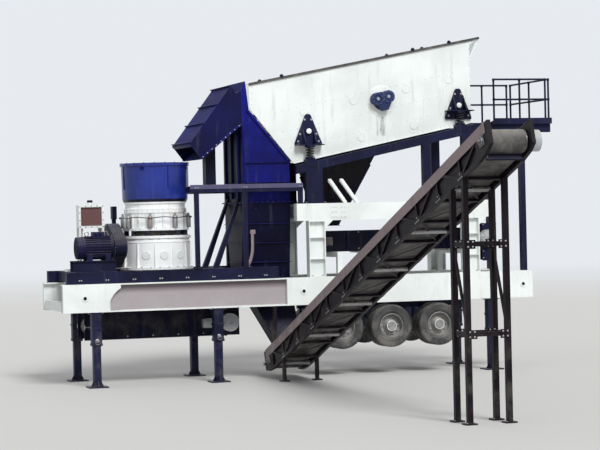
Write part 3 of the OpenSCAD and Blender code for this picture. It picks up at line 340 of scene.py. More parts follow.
def slab(outline: Sequence[Sequence[float]], y0: float, y1: float) -> Shell:
    """A plate whose outline is carried straight from one y to another.

    Args:
        outline: Pairs of x and z, anticlockwise as seen from the near side.
        y0: Place of its near face.
        y1: Place of its far face.

    Returns:
        The plate.
    """
    corners = np.asarray(outline, float)
    count = len(corners)
    points = np.vstack([np.insert(corners, 1, y, axis=1) for y in (y0, y1)])
    i = np.arange(count)
    walls = np.stack([i, i + count, (i + 1) % count + count, (i + 1) % count], -1)
    return Shell(points, [walls, i[None], i[None, ::-1] + count])


def circle(count: int, radius: float, z: float, start: float = 0.0) -> np.ndarray:
    """Points evenly round a level circle about Z, the first at start degrees."""
    angles = math.radians(start) + np.arange(count) * math.tau / count
    return places(radius * np.cos(angles), radius * np.sin(angles), z)


def wire_places(count: int, first: float, last: float, points: int) -> tuple[np.ndarray, np.ndarray]:
    """Number of its wire and place along it, for each of the points of count wires."""
    return tuple(np.meshgrid(np.arange(count), np.linspace(first, last, points), indexing="ij"))


def slope_z(x: float) -> float:
    """Height of the line up which the screen and its beams rise, at a station."""
    return SCREEN_FOOT[2] + (x - SCREEN_FOOT[0]) * math.tan(SLOPE)


# Shaders


class Wire:
    """A shader value that Python's operators combine, each by one Math node."""

    def __init__(self, graph: Graph, socket: bpy.types.NodeSocket | None) -> None:
        """Wraps one output socket of a graph, or none for the graph's last node."""
        self.graph, self.socket = graph, socket

    def math(self, operation: str, *values: Wire | float, clamp: bool = False) -> Wire:
        """One Math node on the given values, in order."""
        settings = {"operation": operation, "use_clamp": clamp}
        return self.graph.node("ShaderNodeMath", settings, dict(enumerate(values)))

    def __add__(self, other: Wire | float) -> Wire:
        """Sum."""
        return self.math("ADD", self, other)

    def __sub__(self, other: Wire | float) -> Wire:
        """Difference."""
        return self.math("SUBTRACT", self, other)

    def __rsub__(self, other: float) -> Wire:
        """Difference from a number."""
        return self.math("SUBTRACT", other, self)

    def __mul__(self, other: Wire | float) -> Wire:
        """Product."""
        return self.math("MULTIPLY", self, other)

    __radd__, __rmul__ = __add__, __mul__

    def __abs__(self) -> Wire:
        """Size without its sign."""
        return self.math("ABSOLUTE", self)

    def at_least(self, other: Wire | float) -> Wire:
        """The larger of two."""
        return self.math("MAXIMUM", self, other)

    def clamped(self) -> Wire:
        """Kept between 0 and 1."""
        return self.math("ADD", self, 0.0, clamp=True)

    def rise(self, low: float, high: float) -> Wire:
        """0 below low and 1 above high, with a smooth step between; high may be the lower one."""
        ends = (0.0, 1.0) if low < high else (1.0, 0.0)
        names = ("From Min", "From Max", "To Min", "To Max")
        limits = dict(zip(names, (*sorted((low, high)), *ends)))
        settings = {"interpolation_type": "SMOOTHSTEP"}
        return self.graph.node("ShaderNodeMapRange", settings, {"Value": self, **limits})

    def between(self, low: float, high: float, soft: float) -> Wire:
        """1 between low and high, and 0 outside, with soft edges."""
        return self.rise(low - soft, low + soft) * self.rise(high + soft, high - soft)


class Graph:
    """A material's nodes, with one method that makes every node."""

    def __init__(self, name: str) -> None:
        """Starts an empty material with object coordinates in metres at the chassis's stations."""
        self.material = bpy.data.materials.new(name)
        self.material.use_nodes = True
        self.tree = self.material.node_tree
        self.tree.nodes.clear()
        place = self.node("ShaderNodeTexCoord", output="Object")
        self.place = self.vector("SUBTRACT", place, tuple(ORIGIN))
        split = (self.node("ShaderNodeSeparateXYZ", {}, {0: self.place}, output=i) for i in range(3))
        self.x, self.y, self.z = split

    def node(
        self, kind: str, settings: dict | None = None, values: dict | None = None, output: int | str = 0,
    ) -> Wire:
        """Makes one node.

        Args:
            kind: Blender's name of the node's type.
            settings: The node's own properties, set first.
            values: Numbers, colours or wires for its sockets, by name or place.
            output: The output that is returned, by name or place.

        Returns:
            That output.
        """
        made = self.tree.nodes.new(kind)
        for key, value in (settings or {}).items():
            setattr(made, key, value)
        for key, value in (values or {}).items():
            socket = made.inputs[key]
            if isinstance(value, Wire):
                self.tree.links.new(value.socket, socket)
            elif socket.type == "RGBA":
                socket.default_value = (*value, 1.0)[:4]
            else:
                socket.default_value = value
        return Wire(self, made.outputs[output] if len(made.outputs) else None)

    def vector(self, operation: str, *values: Wire | tuple) -> Wire:
        """One Vector Math node."""
        return self.node("ShaderNodeVectorMath", {"operation": operation}, dict(enumerate(values)))

    def noise(
        self, scale: float, detail: float = 4.0, rough: float = 0.55,
        stretch: tuple[float, float, float] = (1.0, 1.0, 1.0),
    ) -> Wire:
        """Noise about 0.5 in the part's own place.

        Args:
            scale: Blotches a metre.
            detail: Octaves.
            rough: Share of the finer octaves.
            stretch: Factors on x, y and z; a smaller one draws the pattern out.

        Returns:
            The noise.
        """
        at = self.vector("MULTIPLY", self.place, stretch)
        values = {"Vector": at, "Scale": scale, "Detail": detail, "Roughness": rough}
        return self.node("ShaderNodeTexNoise", {}, values)

    def mix(self, share: Wire | float, first: Wire | tuple, second: Wire | tuple) -> Wire:
        """One Mix node on colours, which go into its inputs 6 and 7."""
        settings = {"data_type": "RGBA", "clamp_factor": True}
        return self.node("ShaderNodeMix", settings, {0: share, 6: first, 7: second}, output=2)

    def upward(self) -> Wire:
        """How far a surface looks up, from -1 to 1."""
        normal = self.node("ShaderNodeNewGeometry", output="Normal")
        return self.node("ShaderNodeSeparateXYZ", {}, {0: normal}, output=2)

    def bump(self, height: Wire, depth: float) -> Wire:
        """A normal from a height pattern, with its full depth in metres."""
        return self.node("ShaderNodeBump", {}, {"Height": height, "Distance": depth, "Strength": 1.0})

    def finish(self, **values: Wire | float | tuple) -> bpy.types.Material:
        """Ends the graph in a Principled shader with these values and returns the material."""
        sockets = {name.replace("_", " "): value for name, value in values.items()}
        shader = self.node("ShaderNodeBsdfPrincipled", {}, sockets)
        self.node("ShaderNodeOutputMaterial", {}, {"Surface": shader})
        return self.material


@dataclass(frozen=True)
class StainOrShade:
    """A patch of another colour between two corners at the chassis's stations, with soft edges. It lays dirt,
    such as drips, and painted shade.
    """

    low: tuple[float, float, float]
    high: tuple[float, float, float]
    colour: tuple[float, float, float]
    share: float = 0.6
    soft: float = 0.03
    broken: float = 0.0

    def laid(self, graph: Graph, below: Wire) -> Wire:
        """Lays the patch over a colour: its share is the product of three soft steps, one an axis.

        Args:
            graph: The material's graph.
            below: The colour below it.

        Returns:
            The colour with the patch on it.
        """
        mask = graph.x.between(self.low[0], self.high[0], self.soft)
        mask = mask * graph.y.between(self.low[1], self.high[1], self.soft)
        mask = mask * graph.z.between(self.low[2], self.high[2], self.soft) * self.share
        if self.broken:
            drips = graph.noise(9.0, 5.0, 0.6, (1.0, 1.0, 0.2))
            mask = mask * drips.rise(self.broken - 0.14, self.broken + 0.14)
        return graph.mix(mask, below, self.colour)


@dataclass(frozen=True)
class Paint:
    """Paint on steel plate: patchy, streaked from above, dusty on top, chipped to rust in a few places, with
    laid patches of dirt and of painted shade.
    """

    name: str
    colour: tuple[float, float, float]
    rough: float = 0.45
    coat: float = 0.2
    dust: float = 0.5
    dust_colour: tuple[float, float, float] = (0.60, 0.56, 0.50)
    grime: float = 0.35
    grime_colour: tuple[float, float, float] = (0.16, 0.13, 0.11)
    chips: float = 0.5
    rust_colour: tuple[float, float, float] = (0.20, 0.085, 0.04)
    shift: float = 0.08
    gloss: float = 0.5
    stains_and_shade: tuple[StainOrShade, ...] = ()

    def material(self) -> bpy.types.Material:
        """Makes the finish's material."""
        g = Graph(self.name)
        patches = g.noise(0.9, 5.0, 0.6)
        streaks = g.noise(7.0, 6.0, 0.65, (1.0, 1.0, 0.09))
        fine = g.noise(60.0, 3.0, 0.6)
        up = g.upward()
        deep = tuple(c * (1 - self.shift) for c in self.colour)
        light = tuple(min(c * (1 + self.shift), 0.95) for c in self.colour)
        tone = g.mix(patches.rise(0.3, 0.7), deep, light)
        runs = streaks.rise(0.54, 0.74) * (1 - abs(up)) + streaks.rise(0.5, 0.8) * 0.3
        runs = runs * patches.rise(0.28, 0.62) * self.grime
        tone = g.mix(runs, tone, self.grime_colour)
        spots = g.noise(26.0, 5.0, 0.7) + g.noise(1.7, 2.0) * 0.5
        chips = spots.rise(1.02 - 0.05 * self.chips, 1.07 - 0.05 * self.chips)
        tone = g.mix(chips * 0.85, tone, self.rust_colour)
        # Laid patches: drips and dark bands, and painted shade in the girders' recesses
        for stain_or_shade in self.stains_and_shade:
            tone = stain_or_shade.laid(g, tone)
        settled = up.rise(0.25, 0.85) * (0.45 + 0.55 * g.noise(5.0, 6.0, 0.65).rise(0.35, 0.62))
        splashed = g.z.rise(2.6, 0.4) * g.noise(2.4, 5.0, 0.65).rise(0.42, 0.68) * 0.7
        powder = (settled.at_least(splashed) + fine.rise(0.55, 0.75) * 0.08) * self.dust
        tone = g.mix(powder, tone, self.dust_colour)
        rough = (self.rough + powder * 0.4 + runs * 0.2 + chips * 0.3 + (patches - 0.5) * 0.12).clamped()
        height = fine * 0.25 + g.noise(3.0, 2.0) * 0.9 - chips * 0.4 + powder * 0.2
        coat = (1 - powder - chips).clamped() * self.coat
        shine = {
            "Roughness": rough, "Specular_IOR_Level": self.gloss, "Coat_Weight": coat, "Coat_Roughness": 0.25
        }
        return g.finish(Base_Color=tone, Normal=g.bump(height, 0.0035), **shine)


@dataclass(frozen=True)
class Metal:
    """Bare steel, worn bright in places, with dull rust between."""

    name: str
    colour: tuple[float, float, float] = (0.42, 0.42, 0.43)
    rust: float = 0.45
    rough: float = 0.42
    dust: float = 0.35

    def material(self) -> bpy.types.Material:
        """Makes the finish's material."""
        g = Graph(self.name)
        blotches = g.noise(6.0, 6.0, 0.65)
        scratches = g.noise(40.0, 4.0, 0.6, (1.0, 0.15, 1.0))
        fine = g.noise(120.0, 3.0, 0.6)
        rusty = (blotches + fine * 0.3).rise(0.62, 0.82) * self.rust
        rust = g.mix(fine.rise(0.35, 0.65), (0.16, 0.07, 0.035), (0.33, 0.17, 0.09))
        tone = g.mix(scratches.rise(0.3, 0.7), tuple(c * 0.78 for c in self.colour), self.colour)
        tone = g.mix(rusty, tone, rust)
        powder = g.upward().rise(0.2, 0.9) * blotches.rise(0.3, 0.6) * self.dust
        tone = g.mix(powder, tone, (0.58, 0.54, 0.48))
        hidden = (rusty + powder).clamped()
        rough = (self.rough + hidden * 0.4 + (scratches - 0.5) * 0.2).clamped()
        normal = g.bump(fine * 0.4 + blotches * 0.6, 0.0015)
        return g.finish(Base_Color=tone, Metallic=(1 - hidden) * 0.9, Roughness=rough, Normal=normal)


@dataclass(frozen=True)
class Rubber:
    """Black rubber with stone dust in its pores and on what faces up."""

    name: str
    colour: tuple[float, float, float] = (0.028, 0.028, 0.03)
    dust: float = 0.5

    def material(self) -> bpy.types.Material:
        """Makes the finish's material."""
        g = Graph(self.name)
        cloud = g.noise(3.5, 6.0, 0.65)
        fine = g.noise(90.0, 3.0, 0.65)
        splashed = g.z.rise(1.6, 0.5) * cloud.rise(0.4, 0.6) * 0.4
        powder = (cloud.rise(0.38, 0.72) * 0.45 + g.upward().rise(0.1, 0.9) * 0.55 + splashed) * self.dust
        tone = g.mix((powder + fine.rise(0.5, 0.8) * 0.08).clamped(), self.colour, (0.42, 0.39, 0.35))
        rough = (0.62 + powder * 0.3).clamped()
        return g.finish(Base_Color=tone, Roughness=rough, Normal=g.bump(fine * 0.5 + cloud * 0.5, 0.002))


# What several paints share: a grey dust, a worn white, and a deep dark gloss
GREY_DUST = (0.62, 0.60, 0.57)
WHITE = dict(colour=(0.78, 0.82, 0.80), grime=0.22, dust=0.42, chips=0.5, dust_colour=GREY_DUST)
DEEP = dict(
    rough=0.5, coat=0.03, gloss=0.12, shift=0.4,
    dust=0.11, chips=0.65, grime=0.2, grime_colour=(0.16, 0.155, 0.165),
)


@dataclass
class Finishes:
    """Every finish of the plant, made once, and the CAD nodes that wear them."""

    plain: tuple[Paint | Metal | Rubber, ...] = (
        Paint(Slot.WHITE.value, **{**WHITE, "chips": 0.55}),
        Paint(Slot.NAVY.value, (0.004, 0.007, 0.10), **DEEP),
        Paint(Slot.DARK.value, (0.008, 0.009, 0.034), **DEEP),
        Paint(Slot.SPRING.value, (0.014, 0.014, 0.022), **DEEP),
        Metal(Slot.STEEL.value),
        Metal(Slot.CAST.value, (0.2, 0.2, 0.21), rust=0.6, rough=0.55),
        Rubber(Slot.TYRE.value, (0.022, 0.022, 0.024), dust=0.36),
        Rubber(Slot.BELT.value, (0.035, 0.034, 0.035), dust=0.6),
        Paint(Slot.CORE.value, (0.16, 0.07, 0.07), rough=0.6, dust=0.3, grime=0.5, coat=0.0),
        # Near-black conveyor paint: partly the conveyor's own dark paint, partly painted shade of its
        # underside and the inside of its trusses
        Paint(Slot.CONVEYOR.value, (0.007, 0.004, 0.007), **DEEP),
        Paint(Slot.DRIVE.value, (0.42, 0.44, 0.46), rough=0.45, dust=0.45, chips=0.6, grime=0.45),
    )
    made: dict[str, bpy.types.Material] = field(default_factory=dict)
    pale: bpy.types.Material = field(init=False)
    dull: bpy.types.Material = field(init=False)

    def __post_init__(self) -> None:
        """Makes the finishes that the slots name, and those of a pale and a dull strip."""
        for finish in self.plain:
            self.made[finish.name] = finish.material()
        # The pale strip's grey-pink is partly its own colour and partly painted shade, a light strip darkened
        # to how it looks in shade
        worn = dict(rough=0.6, coat=0.0, grime=0.8, grime_colour=(0.05, 0.03, 0.035), chips=0.8, dust=0.45)
        self.pale = Paint("pale_strip", (0.25, 0.19, 0.20), **worn).material()
        self.dull = Paint("dull_strip", (0.06, 0.055, 0.13), rough=0.5, grime=0.5, dust=0.3).material()

    def dress_nodes(self) -> None:
        """Gives each CAD node the finish of its slot, or one of its own where it has laid patches or its own
        colour.
        """
        special = self.special()
        slots = {s["node"]: s["material_slot"] for s in frame["record"]["subparts"]}
        for name, piece in frame["nodes"].items():
            finish = special.get(name) or self.made[slots[name]]
            if not piece.data.materials:
                piece.data.materials.append(finish)
            for i in range(len(piece.data.materials)):
                piece.data.materials[i] = finish
        LOG.info("dressed %d nodes", len(frame["nodes"]))

    def special(self) -> dict[str, bpy.types.Material]:
        """Finishes with laid patches or colours at their own places, by node; some patches and colours are
        painted shade.
        """
        # Painted shade: the girders' recessed web in a darker pinkish grey, as the shade under the top flange
        # makes it look
        recess = StainOrShade((1.1, -1.2, 1.72), (5.25, 1.2, 2.32), (0.32, 0.275, 0.29), 0.9, 0.01)
        # Painted shadow: a dark soft band along the top of the recessed web, just under the top flange
        under = StainOrShade((1.1, -1.2, 2.15), (5.25, 1.2, 2.36), (0.10, 0.07, 0.085), 0.7, 0.06)
        drip = StainOrShade((7.66, -0.93, 5.62), (7.86, 0.93, 6.28), (0.10, 0.10, 0.09), 0.75, 0.04, 0.47)
        weep = StainOrShade((5.86, -0.93, 5.1), (6.02, 0.93, 5.5), (0.22, 0.2, 0.17), 0.5, 0.05, 0.5)
        rim = StainOrShade((1.5, -0.9, 4.165), (3.4, 0.9, 4.235), (0.002, 0.002, 0.008), 0.95, 0.006)
        drum = {**DEEP, "rough": 0.32, "coat": 0.5, "stains_and_shade": (rim,)}
        roof = {**DEEP, "rough": 0.7, "dust": 0.06, "gloss": 0.03}
        steel = dict(rough=0.6, dust=0.5, grime=0.7, chips=0.8)
        cast = dict(grime=0.16, dust=0.3, chips=0.4, dust_colour=GREY_DUST)
        # Painted shade: a near-black copy of the navy for the faces turned away from the light, the chute's
        # end plate and the hood's sides
        hood = Paint("shaded_hood_navy", (0.003, 0.004, 0.045), **DEEP).material()
        crusher = Paint("crusher_white", (0.90, 0.93, 0.94), **cast).material()
        paints = {
            "feed_drum": Paint("drum_navy", (0.012, 0.026, 0.20), **drum),
            "chute_sides": Paint("chute_navy", (0.004, 0.006, 0.15), **DEEP),
            "hood_plates": Paint("roof_navy", (0.004, 0.008, 0.12), **roof),
            "chute_spout": Paint("spout_navy", (0.003, 0.003, 0.022), **DEEP),
            # Painted shade: the level belts' frames, under the chassis and the screen, in a near-black copy
            # of the navy
            "belt_frames": Paint("shaded_frame_navy", (0.002, 0.002, 0.014), **DEEP),
            "drive_motor": Paint("motor_navy", (0.010, 0.009, 0.042), **DEEP),
            "exciter": Paint("exciter_navy", (0.03, 0.045, 0.13), **DEEP),
            "wheel_rims": Paint("rim_paint", (0.22, 0.22, 0.22), **steel),
            "screen_hopper": Paint("hopper_black", (0.004, 0.003, 0.006), **DEEP),
            "girder_near": Paint("girder_white", **WHITE, stains_and_shade=(recess, under)),
            "girder_far": Paint("girder_far_white", **WHITE, stains_and_shade=(recess, under)),
            "screen_side_near": Paint("side_white", **WHITE, stains_and_shade=(drip, weep)),
            "screen_side_far": Paint("side_far_white", **WHITE, stains_and_shade=(drip, weep)),
        }
        return {
            **{node: paint.material() for node, paint in paints.items()},
            # The chute's end plate and the hood's sides take the near-black navy of painted shade
            **dict.fromkeys(("chute_ends", "hood_sides"), hood),
            **dict.fromkeys(("crusher_frame", "adjustment_ring", "pinion_housing"), crusher),
        }


FINISHES = Finishes()


def build(
    shell: Shell, name: str, slot: Slot, smooth: float = 35.0, bevel: float = 0.0,
    finish: bpy.types.Material | None = None,
) -> bpy.types.Object:
    """Makes a piece of the plant from a shape.

    Args:
        shell: The shape.
        name: The piece's name.
        slot: The record's slot that it takes its finish from.
        smooth: Edges flatter than this many degrees are shaded smooth.
        bevel: Width of a rounded edge, or 0.
        finish: A material of its own, or the slot's.

    Returns:
        The piece, riding on the plant.
    """
    mesh = bpy.data.meshes.new(name)
    mesh.vertices.add(len(shell.points))
    mesh.vertices.foreach_set("co", (shell.points + ORIGIN).astype(np.float32).ravel())
    corners = np.concatenate([f.ravel() for f in shell.faces]).astype(np.int32)
    counts = np.concatenate([np.full(len(f), f.shape[1]) for f in shell.faces])
    mesh.loops.add(len(corners))
    mesh.loops.foreach_set("vertex_index", corners)
    mesh.polygons.add(len(counts))
    mesh.polygons.foreach_set("loop_start", np.concatenate([[0], np.cumsum(counts)[:-1]]).astype(np.int32))
    mesh.update(calc_edges=True)
    mesh.validate()
    if smooth:
        mesh.polygons.foreach_set("use_smooth", np.ones(len(mesh.polygons), bool))
        mesh.set_sharp_from_angle(angle=math.radians(smooth))
    mesh.materials.append(finish or FINISHES.made[slot.value])
    piece = bpy.data.objects.new(name, mesh)
    bpy.context.collection.objects.link(piece)
    if bevel:
        edge = piece.modifiers.new("edge", "BEVEL")
        edge.width, edge.segments, edge.limit_method = bevel, 2, "ANGLE"
    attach(piece, "root")
    LOG.info("%s: %d faces", name, len(mesh.polygons))
    return piece


# Sub-assemblies


@dataclass
class Chassis:
    """Small parts of the girders, the legs and the skid."""

    face: float = 1.25
    web: float = 1.14
    low: float = 1.70
    top: float = 2.34
    recess: tuple[float, float] = (1.32, 5.24)
    stitched: tuple[float, float, float] = (5.4, 11.2, 0.36)
    boss_x: tuple[float, ...] = (0.5, 5.65, 11.15)
    boss_z: float = 2.02
    legs: tuple[float, ...] = (0.76, 3.6, 10.35)
    leg_y: float = 1.13
    sleeve: float = 0.11
    pin_z: float = 1.06
    band_z: tuple[float, float] = (0.95, 1.3)
    skid_face: float = 1.23
    skid_end: float = 5.06

    def welds(self) -> None:
        """Weld beads in the recess of each girder, and the stitch welds along its lower flange."""
        x0, x1 = self.recess
        heights = (self.low + 0.032, self.top - 0.032)
        beads = joined(pipe([(x0, -self.web, z), (x1, -self.web, z)], 0.007, 6) for z in heights)
        starts = np.arange(*self.stitched)
        stitches = np.stack([places(starts + d, -self.face, self.low + 0.03) for d in (0, 0.09, 0.18)], 1)
        build((beads + wires(stitches, 0.006, 6)).both_sides(), "girder_welds", Slot.WHITE, 60)

    def bosses(self) -> None:
        """Round bosses with a dark bore on the boxed ends of the girders."""
        spots = [(x, -self.face, self.boss_z) for x in self.boss_x]
        profile = [(0.075, 0.0), (0.075, 0.012), (0.068, 0.018), (0.046, 0.018), (0.04, 0.012), (0.04, 0.0)]
        rim = ring(profile, 36).turned(Axis.X, 90)
        build(joined(rim.moved(*spot) for spot in spots).both_sides(), "girder_bosses", Slot.WHITE, 40)
        build(studs(spots, Axis.Y, 0.042, -0.006, 24).both_sides(), "boss_plugs", Slot.DARK, 40)

    def leg_parts(self) -> None:
        """Flange bolts over each leg, the pin through its sleeve with its handle, and bands on the sleeve."""
        y, s = -self.leg_y, self.sleeve
        seat = self.low - 0.018
        turn = np.linspace(0, math.tau, 25)
        pins, flanges, heads, bands = [], [], [], []
        for x in self.legs:
            middle = (x, y - s, self.pin_z)
            pins.append(studs(middle, Axis.Y, 0.026, -0.07, 20) + studs(middle, Axis.Y, 0.045, -0.012, 20))
            handle = places(x + 0.05 * np.sin(turn), y - s - 0.06, self.pin_z - 0.03 - 0.05 * np.cos(turn))
            pins.append(pipe(handle, 0.005, 6))
            flanges.append(bars((x - s - 0.07, y - s - 0.01, seat), (x + s + 0.07, y + s + 0.06, self.low)))
            heads += [(x + dx, y + dy, seat) for dx in (-s - 0.04, s + 0.04) for dy in (-0.06, 0.06)]
            low = (x - s - 0.012, y - s - 0.012)
            high = (x + s + 0.012, y + s + 0.012)
            bands += [bars((*low, z), (*high, z + 0.05)) for z in self.band_z]
        build(joined(pins).both_sides(), "leg_pins", Slot.STEEL, 40)
        build(joined(flanges + bands).both_sides(), "leg_flanges", Slot.DARK, bevel=0.003)
        build(bolts(heads, Axis.Z, 0.017, -1).both_sides(), "leg_bolts", Slot.STEEL, 0)

    def skid_clips(self) -> None:
        """Bolted clips that hold the skid rails on the girders' top flanges."""
        y = -self.skid_face - 0.012
        stations = np.arange(0.35, self.skid_end - 0.2, 0.62)
        low = places(stations, y, self.top)
        plates = bars(low, low + (0.11, 0.012, 0.13)) + bars(low + (0, -0.006, 0), low + (0.11, 0.0, 0.012))
        build(plates.both_sides(), "skid_clips", Slot.DARK, bevel=0.002)
        heads = [(x + dx, y, self.top + 0.08) for x in stations for dx in (0.03, 0.08)]
        build(bolts(heads, Axis.Y, 0.012, -1).both_sides(), "skid_bolts", Slot.STEEL, 0)

    def dress(self) -> None:
        """Makes all the chassis's small parts."""
        self.welds()
        self.bosses()
        self.leg_parts()
        self.skid_clips()


@dataclass
class RunningGear:
    """Small parts of the wheels and axles."""

    stations: tuple[float, ...] = (6.6, 7.8, 9.0)
    height: float = 1.14
    outer: float = 1.235
    disc: float = 1.07
    tyre: float = 0.5
    width: float = 0.245
    inner: float = 0.95
    leaf_count: int = 5
    leaf_y: tuple[float, float] = (-0.64, -0.575)
    chamber: tuple[tuple[float, float], ...] = (
        (0.001, 0.0), (0.07, 0.0), (0.078, 0.02), (0.078, 0.06), (0.084, 0.064), (0.084, 0.074),
        (0.078, 0.078), (0.072, 0.12), (0.02, 0.135), (0.012, 0.135), (0.012, 0.22), (0.001, 0.22),
    )

    def placed(self, shell: Shell, y: float) -> Shell:
        """A shape about an upright axis laid with that axis towards the near side, at every wheel."""
        laid = shell.turned(Axis.X, 90)
        return joined(laid.moved(x, -y, self.height) for x in self.stations).both_sides()

    def nuts(self) -> None:
        """Wheel nuts and studs on the discs, hub cap screws and a light ring round each hub."""
        nuts = bolts(circle(10, 0.21, 0.0), Axis.Z, 0.02, 1)
        nuts += studs(circle(10, 0.21, 0.02), Axis.Z, 0.011, 0.03, 8)
        caps = studs(circle(6, 0.08, 0.0), Axis.Z, 0.009, 0.01)
        build(self.placed(nuts, self.disc) + self.placed(caps, self.outer), "wheel_nuts", Slot.STEEL, 0)
        band = ring([(0.118, -0.04), (0.118, 0.0), (0.106, 0.002), (0.106, -0.04)], 40)
        build(self.placed(band, self.outer), "hub_bands", Slot.WHITE, 40)

    def tread(self) -> None:
        """Shoulder lugs round every tyre, by turns at one wall and the other, and rings on its outer wall."""
        count = 54
        r = self.tyre
        lug = bars((r - 0.012, -0.011, 0.006), (r + 0.004, 0.011, 0.062))
        other = bars((r - 0.012, -0.011, self.width - 0.062), (r + 0.004, 0.011, self.width - 0.006))
        pair = lug + other.turned(Axis.Z, 180 / count)
        lugs = joined(pair.turned(Axis.Z, t) for t in np.arange(count) * 360 / count).moved(z=-self.width)
        build(self.placed(lugs, self.outer) + self.placed(lugs, self.inner), "tread_lugs", Slot.TYRE, 0)
        profile = np.array([(0.006, -0.006), (0.003, 0.003), (-0.003, 0.003), (-0.006, -0.006)])
        walls = joined(ring(profile + (r, 0), 64) for r in (0.35, 0.42))
        build(self.placed(walls, self.outer), "tyre_rings", Slot.TYRE, 60)

    def brakes(self) -> None:
        """Round brake chambers on brackets over the axle tubes, each with its push rod."""
        chamber = lathe(self.chamber, 28).turned(Axis.X, 90).moved(0.17, -0.24, 0.02)
        plate = bars((0.05, -0.26, -0.05), (0.25, -0.245, 0.09))
        both = joined((chamber + plate).moved(x, 0.0, self.height) for x in self.stations).both_sides()
        build(both, "brake_chambers", Slot.DARK, 40)

    def leaves(self) -> None:
        """Leaf springs over the axle tubes: each leaf rises from its middle by a share of its length squared.

        U-bolts hold the middle, and a shackle at each end hangs from the axle rail.
        """
        h, parts = self.height, []
        y0, y1 = self.leaf_y
        for x in self.stations:
            for i in range(self.leaf_count):
                along = np.linspace(-0.46 + 0.07 * i, 0.46 - 0.07 * i, 15)
                rise = h + 0.075 + 0.014 * (self.leaf_count - 1 - i) + 0.28 * along**2
                outline = np.stack([x + along, rise], -1)
                parts.append(slab(np.vstack([outline, outline[::-1] + (0, 0.012)]), y0, y1))
            for dx in (-0.06, 0.06):
                for y in (y0 - 0.018, y1 + 0.008):
                    parts.append(pipe([(x + dx, y, h - 0.09), (x + dx, y, h + 0.17)], 0.009, 8))
            parts.append(bars((x - 0.085, y0 - 0.03, h + 0.15), (x + 0.085, y1 + 0.022, h + 0.163)))
            for end in (x - 0.455, x + 0.455):
                parts.append(bars((end - 0.03, y0 - 0.01, h + 0.17), (end + 0.03, y0, h + 0.46)))
                parts.append(bars((end - 0.03, y0, h + 0.41), (end + 0.03, y1 + 0.021, h + 0.46)))
                parts.append(pipe([(end, y0 - 0.02, h + 0.2), (end, y1 + 0.01, h + 0.2)], 0.016, 12))
        build(joined(parts).both_sides(), "leaf_springs", Slot.DARK, 30)

    def dress(self) -> None:
        """Makes all the wheels' small parts."""
        self.nuts()
        self.tread()
        self.brakes()
        self.leaves()


